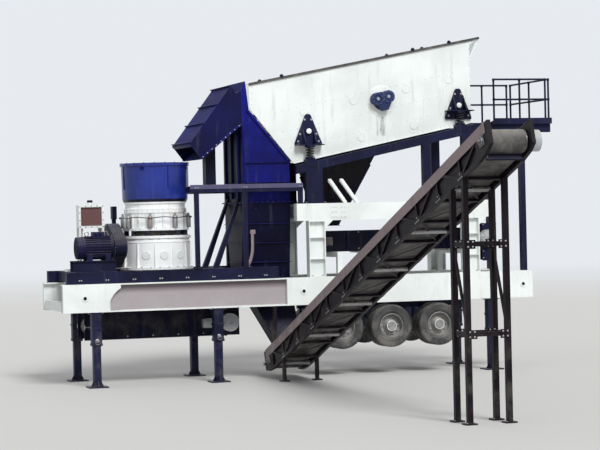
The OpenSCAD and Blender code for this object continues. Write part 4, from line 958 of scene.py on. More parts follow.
@dataclass
class Crusher:
    """Small parts of the cone crusher round its upright axis."""

    x: float = 2.46
    wall: float = 0.79
    frame_foot: float = 2.61
    frame_top: float = 3.39
    ring_low: float = 3.51
    drum_low: float = 4.17
    drum_top: float = 5.07

    def placed(self, shell: Shell, z: float = 0.0) -> Shell:
        """A shape drawn about the upright axis, put in the crusher's place."""
        return shell.moved(self.x, 0.0, z)

    def bolting(self) -> None:
        """Bolts of the foot flange, the top flange, the ring and the drum."""
        foot = bolts(circle(24, 0.825, self.frame_foot + 0.045, start=7.5), Axis.Z, 0.02, 1)
        top = bolts(circle(24, 0.80, self.frame_top - 0.06, start=7.5), Axis.Z, 0.014, -1)
        ring_bolts = bolts(circle(24, 0.747, self.ring_low + 0.05, start=3), Axis.Z, 0.014, 1)
        drum = bolts(circle(20, 0.79, self.drum_top, start=5), Axis.Z, 0.011, 1)
        build(self.placed(foot + top + ring_bolts), "crusher_bolts", Slot.STEEL, 0)
        build(self.placed(drum), "drum_bolts", Slot.NAVY, 0)

    def clamps(self) -> None:
        """Clamping cylinders round the adjustment ring, each with its rod, and their pressure line.

        The line is a level circle that rises and falls a little, once a cylinder.
        """
        count = 8
        profile = [(0.001, 0.0), (0.05, 0.0), (0.055, 0.012), (0.055, 0.26), (0.048, 0.275), (0.03, 0.28)]
        body = lathe([*profile, (0.03, 0.34), (0.001, 0.34)], 20)
        spots = circle(count, 0.77, self.ring_low + 0.055, start=180 / count)
        cylinders = joined(body.moved(*spot) for spot in spots)
        build(self.placed(cylinders), "clamping_cylinders", Slot.STEEL, 40)
        turn = np.linspace(0, math.tau, 97)
        height = self.ring_low + 0.30 + 0.012 * np.cos(count * turn)
        line = places(0.84 * np.cos(turn), 0.84 * np.sin(turn), height)
        build(self.placed(pipe(line, 0.011, 8)), "pressure_line", Slot.BELT)

    def ribs(self) -> None:
        """Upright ribs on the ring, weld beads along the frame's flanges, and round covers on its wall."""
        rib = bars((0.70, -0.006, 0.05), (0.747, 0.006, 0.38))
        ribs = joined(rib.turned(Axis.Z, t) for t in np.arange(0, 360, 15)).moved(z=self.ring_low)
        bead = np.array([(0.01, 0.0), (0.0, 0.01), (-0.01, 0.0), (0.0, -0.01)])
        heights = (self.frame_foot + 0.05, self.frame_top - 0.155)
        beads = joined(ring(bead + (self.wall, z), 96) for z in heights)
        cover = lathe([(0.001, -0.03), (0.1, -0.03), (0.1, 0.008), (0.094, 0.014), (0.001, 0.014)], 32)
        cover += bolts(circle(8, 0.082, 0.013), Axis.Z, 0.009, 1)
        laid = cover.turned(Axis.Y, 90).moved(self.wall, 0, self.frame_foot + 0.33)
        covers = joined(laid.turned(Axis.Z, t) for t in (30, 90, 240, 270, 300))
        build(self.placed(ribs + beads + covers), "frame_ribs", Slot.WHITE, 40)

    def drum_trim(self) -> None:
        """Upright ribs and lifting lugs on the feed drum, and its liner."""
        rib = bars((0.755, -0.006, 0.3), (0.786, 0.006, 0.83))
        ribs = joined(rib.turned(Axis.Z, t) for t in (100, 190, 280, 350))
        outline = [(-0.05, 0.0), (0.05, 0.0), (0.05, 0.05), (0.025, 0.085), (-0.025, 0.085), (-0.05, 0.05)]
        lug = slab(outline, -0.01, 0.01).turned(Axis.Z, 90).moved(0.785, 0, 0.74)
        lugs = joined(lug.turned(Axis.Z, t) for t in (55, 145, 235, 325))
        build(self.placed(ribs + lugs, self.drum_low), "drum_ribs", Slot.NAVY, bevel=0.003)
        build(self.placed(hoop(0.732, 0.742, 0.16, 0.86, 72), self.drum_low), "drum_liner", Slot.STEEL, 40)

    def dress(self) -> None:
        """Makes all the crusher's small parts."""
        self.bolting()
        self.clamps()
        self.ribs()
        self.drum_trim()


@dataclass
class Drive:
    """Small parts of the motor, the belt guard and the oil cooler."""

    height: float = 3.15
    motor_y: float = -0.74
    guard_x: float = 1.294
    guard_r: tuple[float, float] = (0.541, 0.231)
    mesh_r: float = 0.36
    motor_x: tuple[float, float] = (0.55, 1.25)
    motor_r: float = 0.27
    cooler: tuple[float, float, float] = (0.62, -0.15, 3.6)
    pipe_end: tuple[float, float] = (1.83, 0.40)

    def guard(self) -> None:
        """Bolts round the guard's plate, and an open mesh in a round frame on it.

        Each mesh wire is a chord of a circle, along one of two diagonals.
        """
        x, z = self.guard_x, self.height
        big, small = np.radians(np.linspace(-95, 95, 20)), np.radians(np.linspace(120, 240, 7))
        r1, r2 = self.guard_r[0] - 0.025, self.guard_r[1] - 0.022
        around = places(x, r1 * np.cos(big), z + r1 * np.sin(big))
        beside = places(x, self.motor_y + r2 * np.cos(small), z + r2 * np.sin(small))
        build(bolts(np.vstack([around, beside]), Axis.X, 0.011, -1), "guard_bolts", Slot.STEEL, 0)
        r, diagonal = self.mesh_r, 0.7071
        offset = np.arange(-r + 0.02, r, 0.035)
        half = np.sqrt(r * r - offset * offset)
        low, high = (offset - half) * diagonal, (offset + half) * diagonal
        one = np.stack([places(0.0, low, high), places(0.0, high, low)], 1)
        both = np.concatenate([one, one * (1, -1, 1) + (0.004, 0, 0)])
        rim = hoop(r, r + 0.02, 0.0, 0.018, 64).turned(Axis.Y, -90).moved(x, 0, z)
        build(wires(both, 0.003, 4).moved(x - 0.012, 0.0, z) + rim, "guard_mesh", Slot.STEEL, 30)

    def motor(self) -> None:
        """Fan cowl grille, lifting eye, bolts on the end shield, the box and the feet, and cable glands.

        The eye's profile is a small circle beside the axis.
        """
        x0, x1 = self.motor_x
        y, z, r = self.motor_y, self.height, self.motor_r
        grille = joined(hoop(at - 0.004, at + 0.004, 0, 0.008, 40) for at in np.arange(0.05, 0.23, 0.035))
        spoke = bars((0.02, -0.004, 0.001), (0.235, 0.004, 0.007))
        spokes = joined(spoke.turned(Axis.Z, t) for t in range(0, 360, 45))
        build((grille + spokes).turned(Axis.Y, -90).moved(x0 - 0.13, y, z), "fan_grille", Slot.DARK, 40)
        eye = ring(circle(8, 0.012, 0.0)[:, :2] + (0.045, 0), 28).turned(Axis.X, 90).moved(z=0.062)
        base = lathe([(0.001, 0), (0.035, 0), (0.035, 0.012), (0.018, 0.02), (0.001, 0.02)], 20)
        build((eye + base).moved(x0 + 0.12, y, z + r - 0.012), "lifting_eye", Slot.STEEL, 40)
        box_top = z + r + 0.09
        box = [(x0 + dx, y + dy, box_top) for dx in (0.27, 0.48) for dy in (-0.11, 0.11)]
        feet = [(x0 + dx, y + dy, z - r) for dx in (0.12, 0.62) for dy in (-0.21, 0.21)]
        turn = np.arange(8) * math.tau / 8 + 0.2
        shield = places(x1, y + 0.225 * np.cos(turn), z + 0.225 * np.sin(turn))
        upright = bolts(box, Axis.Z, 0.009, 1) + bolts(feet, Axis.Z, 0.014, 1)
        build(upright + bolts(shield, Axis.X, 0.011, 1), "motor_bolts", Slot.STEEL, 0)
        profile = [(0.001, 0), (0.03, 0), (0.03, 0.025), (0.022, 0.03), (0.022, 0.05), (0.001, 0.05)]
        gland = lathe(profile, 12)
        laid = gland.turned(Axis.X, 90).moved(x0, y - 0.13, box_top - 0.05)
        build(laid.moved(0.32) + laid.moved(0.42), "cable_glands", Slot.DARK, 40)

    def oil_system(self) -> None:
        """The cooler's black cap, its bolts and flanges, and two rigid pipes down to the crusher's foot."""
        x, y, z = self.cooler
        profile = [(0.001, 0), (0.062, 0), (0.066, 0.01), (0.066, 0.04), (0.056, 0.052), (0.001, 0.052)]
        cap = lathe(profile, 28)
        build(cap.moved(x + 0.295, 0, z + 0.59), "cooler_cap", Slot.DARK, 40)
        heads = [(x + dx, y, z + dz) for dx in (0.025, 0.565) for dz in (0.03, 0.18, 0.35, 0.5)]
        heads += [(x + dx, y, z + dz) for dx in (0.16, 0.295, 0.43) for dz in (0.025, 0.505)]
        build(bolts(heads, Axis.Y, 0.011, -1), "cooler_bolts", Slot.STEEL, 0)
        profile = [(0.001, 0), (0.034, 0), (0.034, 0.03), (0.026, 0.035), (0.026, 0.05), (0.001, 0.05)]
        union = lathe(profile, 12)
        end_x, end_y = self.pipe_end
        lines = []
        for dx, dy, foot in ((0.1, 0.05, end_y), (0.49, -0.05, -end_y)):
            down = [(x + dx, dy, z + 0.02), (x + dx, dy, z - 0.4), (x + dx + 0.02, foot * 0.5, z - 0.8)]
            knots = [*down, (end_x - 0.58, foot, z - 0.93), (end_x, foot, z - 0.93)]
            lines += [pipe(smooth_path(knots, 32), 0.019, 12), union.moved(x + dx, dy, z - 0.06)]
        build(joined(lines), "oil_pipes", Slot.STEEL, 50)

    def dress(self) -> None:
        """Makes all the drive's small parts."""
        self.guard()
        self.motor()
        self.oil_system()


@dataclass
class Walkway:
    """Grating, pale edge and bolts of the walkway."""

    top: float = 4.48
    edge: float = 1.24
    edge_bolts: tuple[float, ...] = (3.15, 4.3, 5.64)
    ends: tuple[float, float, float, float] = (2.99, 3.3, 4.348, 5.69)
    feet: tuple[tuple[float, float], ...] = ((3.06, 2.61), (4.21, 2.61), (5.55, 4.05))

    def grating(self) -> None:
        """Upright flats across the deck and its strips, with rods across them."""
        a, b, c, d = self.ends
        deck, strips = (b, c, -1.2, 1.2), ((a, b, -1.2, -0.88), (c, d, -1.2, -0.88), (c, c + 0.24, 0.88, 1.2))
        parts = []
        for x0, x1, y0, y1 in (deck, *strips):
            low = places(np.arange(x0 + 0.025, x1 - 0.02, 0.04), y0, self.top)
            parts.append(bars(low, low + (0.005, y1 - y0, 0.02)))
            low = places(x0 + 0.01, np.arange(y0 + 0.05, y1, 0.1), self.top + 0.01)
            parts.append(bars(low, low + (x1 - x0 - 0.02, 0.006, 0.006)))
        build(joined(parts), "walkway_grating", Slot.DARK, 0)

    def edging(self) -> None:
        """A pale angle along the near edge, bolts where the posts carry it, and the posts' foot plates."""
        start, end, y = self.ends[0], self.ends[-1], -self.edge - 0.008
        angle = bars((start, y, self.top - 0.05), (end, -self.edge, self.top + 0.05))
        build(angle, "walkway_edge", Slot.DARK, bevel=0.002, finish=FINISHES.dull)
        heads = [(x + dx, y, self.top - 0.02) for x in self.edge_bolts for dx in (-0.03, 0.03)]
        build(bolts(heads, Axis.Y, 0.01, -1), "walkway_bolts", Slot.STEEL, 0)
        low = np.array([(x, -1.25, z) for x, z in self.feet])
        build(bars(low, low + (0.18, 0.17, 0.012)), "walkway_feet", Slot.DARK, bevel=0.002)

    def dress(self) -> None:
        """Makes all the walkway's small parts."""
        self.grating()
        self.edging()


@dataclass
class Chute:
    """Ribs, flanges and bolts of the chute, its hood and its spout."""

    left: float = 4.36
    right: float = 5.5
    half: float = 0.83
    low: float = 4.1
    foot: float = 2.34
    foot_half: float = 0.45
    edge: tuple[tuple[float, float], ...] = ((5.5, 5.05), (4.543, 6.241), (4.467, 6.92))
    tip: tuple[float, float] = (3.1, 5.47)
    ridge: tuple[float, float] = (4.13, 6.83)
    lip: tuple[float, float] = (3.38, 5.12)
    join: float = 5.905
    side_flats: tuple[float, ...] = (4.56, 5.02)
    back_flats: tuple[float, ...] = (-0.55, 0.0, 0.54)
    spout_flats: tuple[float, ...] = (2.7, 3.15, 3.6)
    brace_knots: tuple[tuple[float, float, float], ...] = (
        (4.6, -0.69, 3.42), (4.57, -0.80, 3.25), (4.51, -0.98, 2.98),
        (4.42, -1.1, 2.76), (4.33, -1.13, 2.62),
    )

    def edge_x(self, z: float) -> float:
        """Place of the chute's slanting edge at a height, by straight lines between its corners."""
        return float(np.interp(z, [corner[1] for corner in self.edge], [corner[0] for corner in self.edge]))

    def wall_bolts(self) -> None:
        """Round heads of the liner bolts in rows on both side walls, kept inside the slanting edge."""
        spots = []
        for z in np.arange(self.low + 0.14, 6.2, 0.2):
            stations = np.arange(self.left + 0.14, self.edge_x(z) - 0.1, 0.18)
            spots.append(places(stations, -self.half, z))
        heads = studs(np.vstack(spots), Axis.Y, 0.015, -0.008, 10)
        build(heads.both_sides(), "liner_bolts", Slot.NAVY, 30)

    def wall_ribs(self) -> None:
        """Level flats across the side walls, and upright ones on the end wall."""
        low = np.array([(self.left + 0.06, -self.half - 0.045, z) for z in self.side_flats])
        flats = bars(low, low + (self.right - self.left - 0.08, 0.045, 0.01))
        low = np.array([(self.left - 0.05, y, self.low + 0.1) for y in self.back_flats])
        back = bars(low, low + (0.05, 0.012, self.join - self.low - 0.15))
        build(flats.both_sides() + back, "chute_ribs", Slot.NAVY, bevel=0.002)

    def flange(self) -> None:
        """Bolted flange between the chute and its spout."""
        x0, x1, h, w = self.left, self.right, self.half, 0.055
        low = [(x0 - w, -h - w), (x0 - w, h), (x0 - w, -h), (x1, -h)]
        high = [(x1 + w, -h), (x1 + w, h + w), (x0, h), (x1 + w, h)]
        plates = bars([(*p, self.low - 0.012) for p in low], [(*p, self.low + 0.012) for p in high])
        build(plates, "spout_flange", Slot.NAVY, bevel=0.002)
        stations, across = np.arange(x0 + 0.06, x1, 0.13), np.arange(-h + 0.06, h, 0.14)
        spots = [(x, y, self.low + 0.012) for x in stations for y in (-h - 0.03, h + 0.03)]
        spots += [(x, y, self.low + 0.012) for x in (x0 - 0.03, x1 + 0.03) for y in across]
        build(bolts(spots, Axis.Z, 0.011, 1), "flange_bolts", Slot.STEEL, 0)

    def spout_ribs(self) -> None:
        """Level flats round the spout's slanting walls: each lies where the wall is at its height."""
        flats = []
        for z in self.spout_flats:
            share = (self.low - z) / (self.low - self.foot)
            y = self.half + (self.foot_half - self.half) * share
            x0, x1, top = self.left + 0.02 * share, self.right + 0.06 * share, z + 0.012
            flats.append(bars((x0 - 0.04, -y - 0.05, z), (x1 + 0.04, -y + 0.03, top)).both_sides())
            flats.append(bars((x0 - 0.045, -y, z), (x0 + 0.01, y, top)))
            flats.append(bars((x1 - 0.01, -y, z), (x1 + 0.045, y, top)))
        build(joined(flats), "spout_ribs", Slot.NAVY, bevel=0.002)

    def brace(self) -> None:
        """The pale bent bar from the spout's wall to the skid, with a bolted lug at each end."""
        lugs = bars([(4.54, -0.74, 3.37), (4.25, -1.21, 2.61)], [(4.66, -0.66, 3.47), (4.41, -1.07, 2.625)])
        bar = pipe(smooth_path(self.brace_knots, 30), 0.036, 4)
        build(bar + lugs, "spout_brace", Slot.DARK, 20, finish=FINISHES.pale)
        heads = bolts([(4.28, -1.14, 2.625), (4.38, -1.14, 2.625)], Axis.Z, 0.012, 1)
        build(heads, "brace_bolts", Slot.STEEL, 0)

    def hood_trim(self) -> None:
        """Flats over the hood's roof, angles along the lower edges of its sides, and its folded lip.

        Points are pairs of x and z. The flats stand square to the roof's line from its tip to its ridge.
        """
        corners = (self.tip, self.ridge, self.lip, (self.left, self.join))
        tip, ridge, lip, end = (np.array(corner) for corner in corners)
        run = (ridge - tip) / np.linalg.norm(ridge - tip)
        thick, tall = run * 0.012, np.array([-run[1], run[0]]) * 0.045
        flats = []
        for share in (0.02, 0.34, 0.66, 0.97):
            foot = tip + (ridge - tip) * share
            outline = [foot, foot + thick, foot + thick + tall, foot + tall]
            flats.append(slab(outline, -self.half - 0.02, self.half + 0.02))
        y = -self.half - 0.035
        down = np.array([end[1] - lip[1], lip[0] - end[0]]) / np.linalg.norm(end - lip) * 0.05
        flats.append(slab([lip, end, end - down, lip - down], y, -self.half).both_sides())
        build(joined(flats), "hood_ribs", Slot.NAVY, bevel=0.002)
        spots = np.linspace(0.05, 0.95, 9)[:, None] * (end - lip) + lip - down / 2
        heads = bolts(np.insert(spots, 1, y, axis=1), Axis.Y, 0.011, -1)
        build(heads.both_sides(), "hood_bolts", Slot.STEEL, 0)
        outline = [tip, tip + (0.06, -0.06), tip + (0.075, -0.03), tip + (0.02, 0.02)]
        build(slab(outline, -self.half - 0.012, self.half + 0.012), "hood_lip", Slot.NAVY, bevel=0.003)

    def dress(self) -> None:
        """Makes all the chute's small parts."""
        self.wall_bolts()
        self.wall_ribs()
        self.flange()
        self.spout_ribs()
        self.brace()
        self.hood_trim()


@dataclass
class Portal:
    """Bolts, stiffeners and gussets of the portal frame and the posts over it."""

    columns: tuple[float, float] = (6.01, 9.86)
    half: float = 0.2
    face: float = 1.25
    inner: float = 1.01
    foot: float = 2.34
    low: float = 3.65
    top: float = 4.05
    ends: tuple[float, float] = (5.53, 10.4)
    splices: tuple[float, float] = (6.55, 9.2)
    posts: tuple[tuple[float, float], ...] = ((5.81, 6.21), (9.72, 9.94))
    near_post: tuple[float, float] = (8.72, 8.90)
    beam_y: float = -1.135
    level_bolts: tuple[float, ...] = (10.3, 10.7, 11.1, 11.5, 11.9)

    def column_parts(self) -> None:
        """Level stiffeners between each column's flanges, and foot and head bolts."""
        plates, feet, heads = [], [], []
        for x in self.columns:
            for z in (2.75, 3.25):
                low = (x - self.half + 0.02, -self.face + 0.004, z)
                plates.append(bars(low, (x + self.half - 0.02, -self.inner - 0.13, z + 0.012)))
            spots = [(x + dx, y) for dx in (-0.12, 0.12) for y in (-1.2, -1.06)]
            feet += [(*spot, self.foot + 0.025) for spot in spots]
            heads += [(*spot, self.low - 0.025) for spot in spots]
        build(joined(plates).both_sides(), "column_stiffeners", Slot.WHITE, bevel=0.002)
        both = bolts(feet, Axis.Z, 0.02, 1) + bolts(heads, Axis.Z, 0.02, -1)
        build(both.both_sides(), "column_bolts", Slot.STEEL, 0)

    def beam_parts(self) -> None:
        """Splice plates with rows of bolts on the portal's beams, and end caps."""
        y = -self.face - 0.01
        low = np.array([(x - 0.2, y, self.low + 0.05) for x in self.splices])
        plates = bars(low, low + (0.4, 0.01, self.top - self.low - 0.1))
        stations = [x + dx for x in self.splices for dx in (-0.15, -0.07, 0.07, 0.15)]
        heads = [(x, y, z) for x in stations for z in (3.74, 3.85, 3.96)]
        low = np.array([(x - 0.008, -self.face - 0.004, self.low - 0.004) for x in self.ends])
        caps = bars(low, low + (0.016, self.face - self.inner + 0.008, self.top - self.low + 0.008))
        build((plates + caps).both_sides(), "beam_plates", Slot.WHITE, bevel=0.003)
        build(bolts(heads, Axis.Y, 0.015, -1).both_sides(), "beam_bolts", Slot.WHITE, 0)

    def post_foot(self, x0: float, x1: float) -> tuple[Shell, Shell]:
        """Bolts and gussets at the foot of a post.

        Args:
            x0: The post's left edge.
            x1: Its right edge.

        Returns:
            Its four bolts and its two gussets, on the near side.
        """
        z, y0, y1 = self.top + 0.02, -1.056, -1.044
        heads = [(x, y, z) for x in (x0 - 0.03, x1 + 0.03) for y in (-1.03, -1.19)]
        right = slab([(x1, z), (x1 + 0.05, z), (x1, z + 0.18)], y0, y1)
        left = slab([(x0, z), (x0, z + 0.18), (x0 - 0.05, z)], y0, y1)
        return bolts(heads, Axis.Z, 0.016, 1), right + left

    def post_parts(self) -> None:
        """Gussets on the posts' feet and bolts through their foot plates."""
        paired = [self.post_foot(*post) for post in self.posts]
        single = self.post_foot(*self.near_post)
        build(joined(p[0] for p in paired).both_sides() + single[0], "post_bolts", Slot.STEEL, 0)
        build(joined(p[1] for p in paired).both_sides() + single[1], "post_gussets", Slot.DARK, bevel=0.002)

    def subframe_parts(self) -> None:
        """Bolts in pairs along the sloping beams and the level ones behind them."""
        stations = np.arange(6.5, 9.6, 0.5)
        tops = [(x, slope_z(x) - 0.041 - 0.05) for x in stations] + [(x, 5.80) for x in self.level_bolts]
        heads = [(x, self.beam_y, top - drop) for x, top in tops for drop in (0.0, 0.1)]
        build(bolts(heads, Axis.Y, 0.013, -1).both_sides(), "subframe_bolts", Slot.DARK, 0)

    def dress(self) -> None:
        """Makes all the portal's small parts."""
        self.column_parts()
        self.beam_parts()
        self.post_parts()
        self.subframe_parts()


@dataclass
class Screen:
    """Small parts of the vibrating screen, drawn with u up its slope and w square to it."""

    half: float = 0.9
    length: float = 4.55
    depth: float = 2.05
    decks: tuple[float, ...] = (0.36, 0.76, 1.24)
    tubes: tuple[float, ...] = (0.4, 1.65, 3.0, 4.1)
    exciter: tuple[float, float] = (2.33, 0.98)
    springs: tuple[float, float] = (0.245, 4.09)
    drops: tuple[float, float] = (0.0, 0.19)
    spring_y: float = 1.05
    coil: tuple[float, float, float] = (0.079, 0.016, 0.33)
    turns: int = 5

    def seats(self) -> list[tuple[float, float]]:
        """Station and height of the pads under the springs."""
        x, _, z = SCREEN_FOOT
        return [(x + u * math.cos(SLOPE), z + u * math.sin(SLOPE) + 0.02) for u in self.springs]

    def coils(self) -> None:
        """Round coil springs in place of the plain ones, with a cup at each end.

        A coil's point is its radius times cos a and sin a, and it rises evenly with a.
        """
        radius, thick, height = self.coil
        a = np.linspace(0, self.turns * math.tau, 48 * self.turns + 1)
        path = places(radius * np.cos(a), radius * np.sin(a), 0.0145 + (height - 0.029) * a / a[-1])
        spots = [(x, y, z) for x, z in self.seats() for y in (-self.spring_y, self.spring_y)]
        steel = wires(np.stack([path + spot for spot in spots]), thick, 12)
        coils = build(steel, "round_springs", Slot.SPRING, 60)
        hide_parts("coil_springs")
        cup = hoop(0.106, 0.118, 0.0, 0.045, 36)
        pair = cup + cup.moved(z=height - 0.045)
        build(joined(pair.moved(*spot) for spot in spots), "spring_cups", Slot.DARK, 40)

    def bolting(self) -> None:
        """Bolt heads along each deck and down the ends of both sides."""
        y, end = -self.half, self.length
        rows = [((-0.1 - 0.1 * i, w + 0.03), (end - 0.3, w + 0.03), 26) for i, w in enumerate(self.decks)]
        rows.append(((-0.05, 0.06), (end - 0.2, 0.06), 20))
        rows.append(((end - 0.06, 0.2), (end + 0.22, 1.75), 9))
        rows.append(((-0.82, 1.56), (-0.72, 1.95), 4))
        spots = np.vstack([np.linspace(first, last, count) for first, last, count in rows])
        heads = studs(np.insert(spots, 1, y, axis=1), Axis.Y, 0.014, -0.012)
        build(heads.both_sides().on_screen(), "screen_bolts", Slot.WHITE, 0)

    def flanges(self) -> None:
        """Round flanges where the cross tubes meet the sides, and a doubler plate behind the exciter."""
        disc = lathe([(0.001, 0), (0.11, 0), (0.11, 0.007), (0.105, 0.01), (0.001, 0.01)], 32)
        disc += studs(circle(8, 0.088, 0.01), Axis.Z, 0.011, 0.01)
        laid = disc.turned(Axis.X, 90)
        outer = (self.tubes[0], self.tubes[-1])
        spots = [(u, w) for w, tubes in zip(self.decks, (self.tubes, outer, self.tubes)) for u in tubes]
        plates = joined(laid.moved(u, -self.half, w - 0.1) for u, w in spots)
        doubler = lathe([(0.001, 0), (0.37, 0), (0.37, 0.005), (0.364, 0.008), (0.001, 0.008)], 56)
        doubler += studs(circle(18, 0.335, 0.008), Axis.Z, 0.012, 0.01)
        plates += doubler.turned(Axis.X, 90).moved(self.exciter[0], -self.half, self.exciter[1])
        build(plates.both_sides().on_screen(), "side_flanges", Slot.WHITE, 30)

    def edges(self) -> None:
        """Dark rubber strip on the top edges, its three clamps, and a folded lip on the lower edges."""
        ends = [(-0.78, self.depth), (5.08, self.depth * 0.96)]
        outline = [(u, w - 0.05) for u, w in ends] + [(u, w + 0.006) for u, w in ends[::-1]]
        strip = slab(outline, -self.half - 0.034, -self.half - 0.018)
        build(strip.both_sides().on_screen(), "dust_strip", Slot.BELT)
        y = self.half + 0.02
        spots = [(u, v) for u in (0.04, 3.36, 4.3) for v in (-y, y)]
        knobs = np.array([(u, v, self.depth - (u + 0.78) * 0.014) for u, v in spots])
        clamps = studs(knobs, Axis.Z, 0.045, 0.05, 16) + bolts(knobs + (0, 0, 0.05), Axis.Z, 0.016, 1)
        build(clamps.on_screen(), "strip_clamps", Slot.DARK, 30)
        lip = bars((-0.1, -self.half - 0.05, 0.0), (self.length - 0.14, -self.half, 0.012))
        build(lip.both_sides().on_screen(), "side_lips", Slot.WHITE, bevel=0.003)

    def cloth(self) -> None:
        """Woven wire on the top deck and plain wires on the lower ones.

        Each wire is a line with a small wave: its height is the wire's thickness times sin of its place.
        """
        thick, inner, end = 0.006, self.half - 0.03, self.length - 0.27
        for i, deck in enumerate(self.decks):
            woven = i == 2
            start, step, wave = -0.19 * (1 + i), 0.075 if woven else 0.1, thick if woven else 0.0
            stations, rows = np.arange(start, end, step), np.arange(-inner, inner, step)
            height = deck + 0.05 + 0.009
            number, at = wire_places(len(rows), start, end, 2 * len(stations) + 1)
            along = places(at, rows[number], height + wave * np.sin(math.pi * ((at - start) / step + number)))
            number, at = wire_places(len(stations), -inner, inner, 2 * len(rows) + 1)
            lift = 0.5 * wave - wave * np.sin(math.pi * ((at + inner) / step + number))
            across = places(stations[number], at, height + lift)
            mesh = wires(along, thick, 4) + wires(across if woven else across[:, ::2], thick, 4)
            build(mesh.on_screen(), f"wire_cloth_{i + 1}", Slot.STEEL)

    def exciter_trim(self) -> None:
        """Bolts round the exciter's flange and covers, and the plugs in its covers."""
        u, w = self.exciter
        y = -self.half
        turn = np.arange(12) * math.tau / 12
        around = places(u + 0.19 * np.cos(turn), y - 0.03, w + 0.19 * np.sin(turn))
        build(bolts(around, Axis.Y, 0.012, -1).both_sides().on_screen(), "exciter_bolts", Slot.DARK, 0)
        turn = np.arange(8) * math.tau / 8 + 0.3
        middles = (u - 0.135, u + 0.135)
        rise = w + 0.07 + 0.128 * np.sin(turn)
        covers = [places(x + 0.128 * np.cos(turn), y - 0.19, rise) for x in middles]
        plugs = [(x, y - 0.172, w + 0.07) for x in middles]
        trim = studs(np.vstack(covers), Axis.Y, 0.008, -0.01) + studs(plugs, Axis.Y, 0.04, -0.03, 24)
        build(trim.both_sides().on_screen(), "cover_bolts", Slot.STEEL, 30)

    def brackets(self) -> None:
        """Pin ends and bolts on the spring brackets."""
        y = -self.half - 0.05
        holes = ((0.25, 0.09), (0.08, 0.6), (0.2, 0.26))
        pins, heads, base = [], [], []
        for (x, seat), drop in zip(self.seats(), self.drops):
            z = seat + self.coil[2]
            pins.append((x, y - 0.04, z + 0.33 - drop))
            heads += [(x + side * dx, y, z + dz - drop) for dx, dz in holes for side in (-1, 1)]
            base += [(x + dx, -self.spring_y + dy, z + 0.022) for dx in (-0.28, 0.28) for dy in (-0.07, 0.05)]
        build(studs(pins, Axis.Y, 0.062, -0.035, 32).both_sides(), "bracket_pins", Slot.WHITE, 40)
        both = bolts(heads, Axis.Y, 0.018, -1) + bolts(base, Axis.Z, 0.014, 1)
        build(both.both_sides(), "bracket_bolts", Slot.STEEL, 0)

    def dress(self) -> None:
        """Makes all the screen's small parts."""
        self.coils()
        self.bolting()
        self.flanges()
        self.edges()
        self.cloth()
        self.exciter_trim()
        self.brackets()


@dataclass
class Hopper:
    """Corner angles, end ribs and outlet flange of the screen's hopper."""

    mouth: tuple[float, float] = (6.24, 7.6)
    half: float = 0.965
    outlet: tuple[float, float] = (6.51, 6.83)
    outlet_half: float = 0.26
    outlet_z: float = 3.514
    bands: tuple[float, ...] = (4.6, 4.25, 3.9)

    def mouth_z(self, x: float) -> float:
        """Height of the mouth's edge at a station: 0.185 under the line of the slope."""
        return slope_z(x) - 0.185

    def angles(self) -> None:
        """Angles down the four corners, each a straight line from the mouth to the outlet."""
        edges = []
        for top, foot in zip(self.mouth, self.outlet):
            ends = np.array([(top, -self.half, self.mouth_z(top)), (foot, -self.outlet_half, self.outlet_z)])
            run = ends[1] - ends[0]
            edges.append(pipe([ends[0] + run * 0.16, ends[0] + run * 0.99], 0.026, 4))
        build(joined(edges).both_sides(), "hopper_angles", Slot.DARK, 20)

    def ribs(self) -> None:
        """Level flats across both end walls: each wall's place and half width shrink evenly downwards."""
        flats = []
        for side, top, foot in zip((-1, 1), self.mouth, self.outlet):
            z_top = self.mouth_z(top)
            for z in self.bands:
                share = (z_top - z) / (z_top - self.outlet_z)
                x, y = top + (foot - top) * share, self.half + (self.outlet_half - self.half) * share
                low, high = sorted((x + side * 0.045, x - side * 0.006))
                flats.append(bars((low, -y, z), (high, y, z + 0.012)))
        build(joined(flats), "hopper_ribs", Slot.DARK)

    def flange(self) -> None:
        """Bolted flange round the outlet."""
        (x0, x1), y, z, w = self.outlet, self.outlet_half, self.outlet_z, 0.05
        low = [(x0 - w, -y - w, z), (x0 - w, y, z), (x0 - w, -y, z), (x1, -y, z)]
        high = [(x1 + w, -y, z), (x1 + w, y + w, z), (x0, y, z), (x1 + w, y, z)]
        build(bars(low, np.add(high, (0, 0, 0.012))), "outlet_flange", Slot.DARK)
        spots = [(x, v) for x in np.linspace(x0, x1, 4) for v in (-y - 0.025, y + 0.025)]
        spots += [(x, v) for x in (x0 - 0.025, x1 + 0.025) for v in (-0.18, -0.06, 0.06, 0.18)]
        build(bolts([(*spot, z + 0.012) for spot in spots], Axis.Z, 0.01, 1), "outlet_bolts", Slot.STEEL, 0)

    def dress(self) -> None:
        """Makes all the hopper's small parts."""
        self.angles()
        self.ribs()
        self.flange()


def bearing(radius: float) -> Shell:
    """A flanged bearing about Z: square plate, turned housing, shaft end and four bolts.

    Args:
        radius: The housing's radius, of which every other size is a share.

    Returns:
        The bearing, with its plate's back at height 0.
    """
    shares = [(1, 0), (1, 0.35), (0.85, 0.6), (0.5, 0.62), (0.42, 0.62), (0.42, 0.95), (0.38, 1)]
    profile = [(0.001, 0), *((radius * r, radius * z) for r, z in shares), (0.001, radius)]
    half, thick, spot = 1.15 * radius, 0.2 * radius, 0.92 * radius
    plate = bars((-half, -half, 0), (half, half, thick))
    spots = [(x, y, thick) for x in (-spot, spot) for y in (-spot, spot)]
    return plate + lathe(profile, 28) + bolts(spots, Axis.Z, 0.14 * radius, 1)


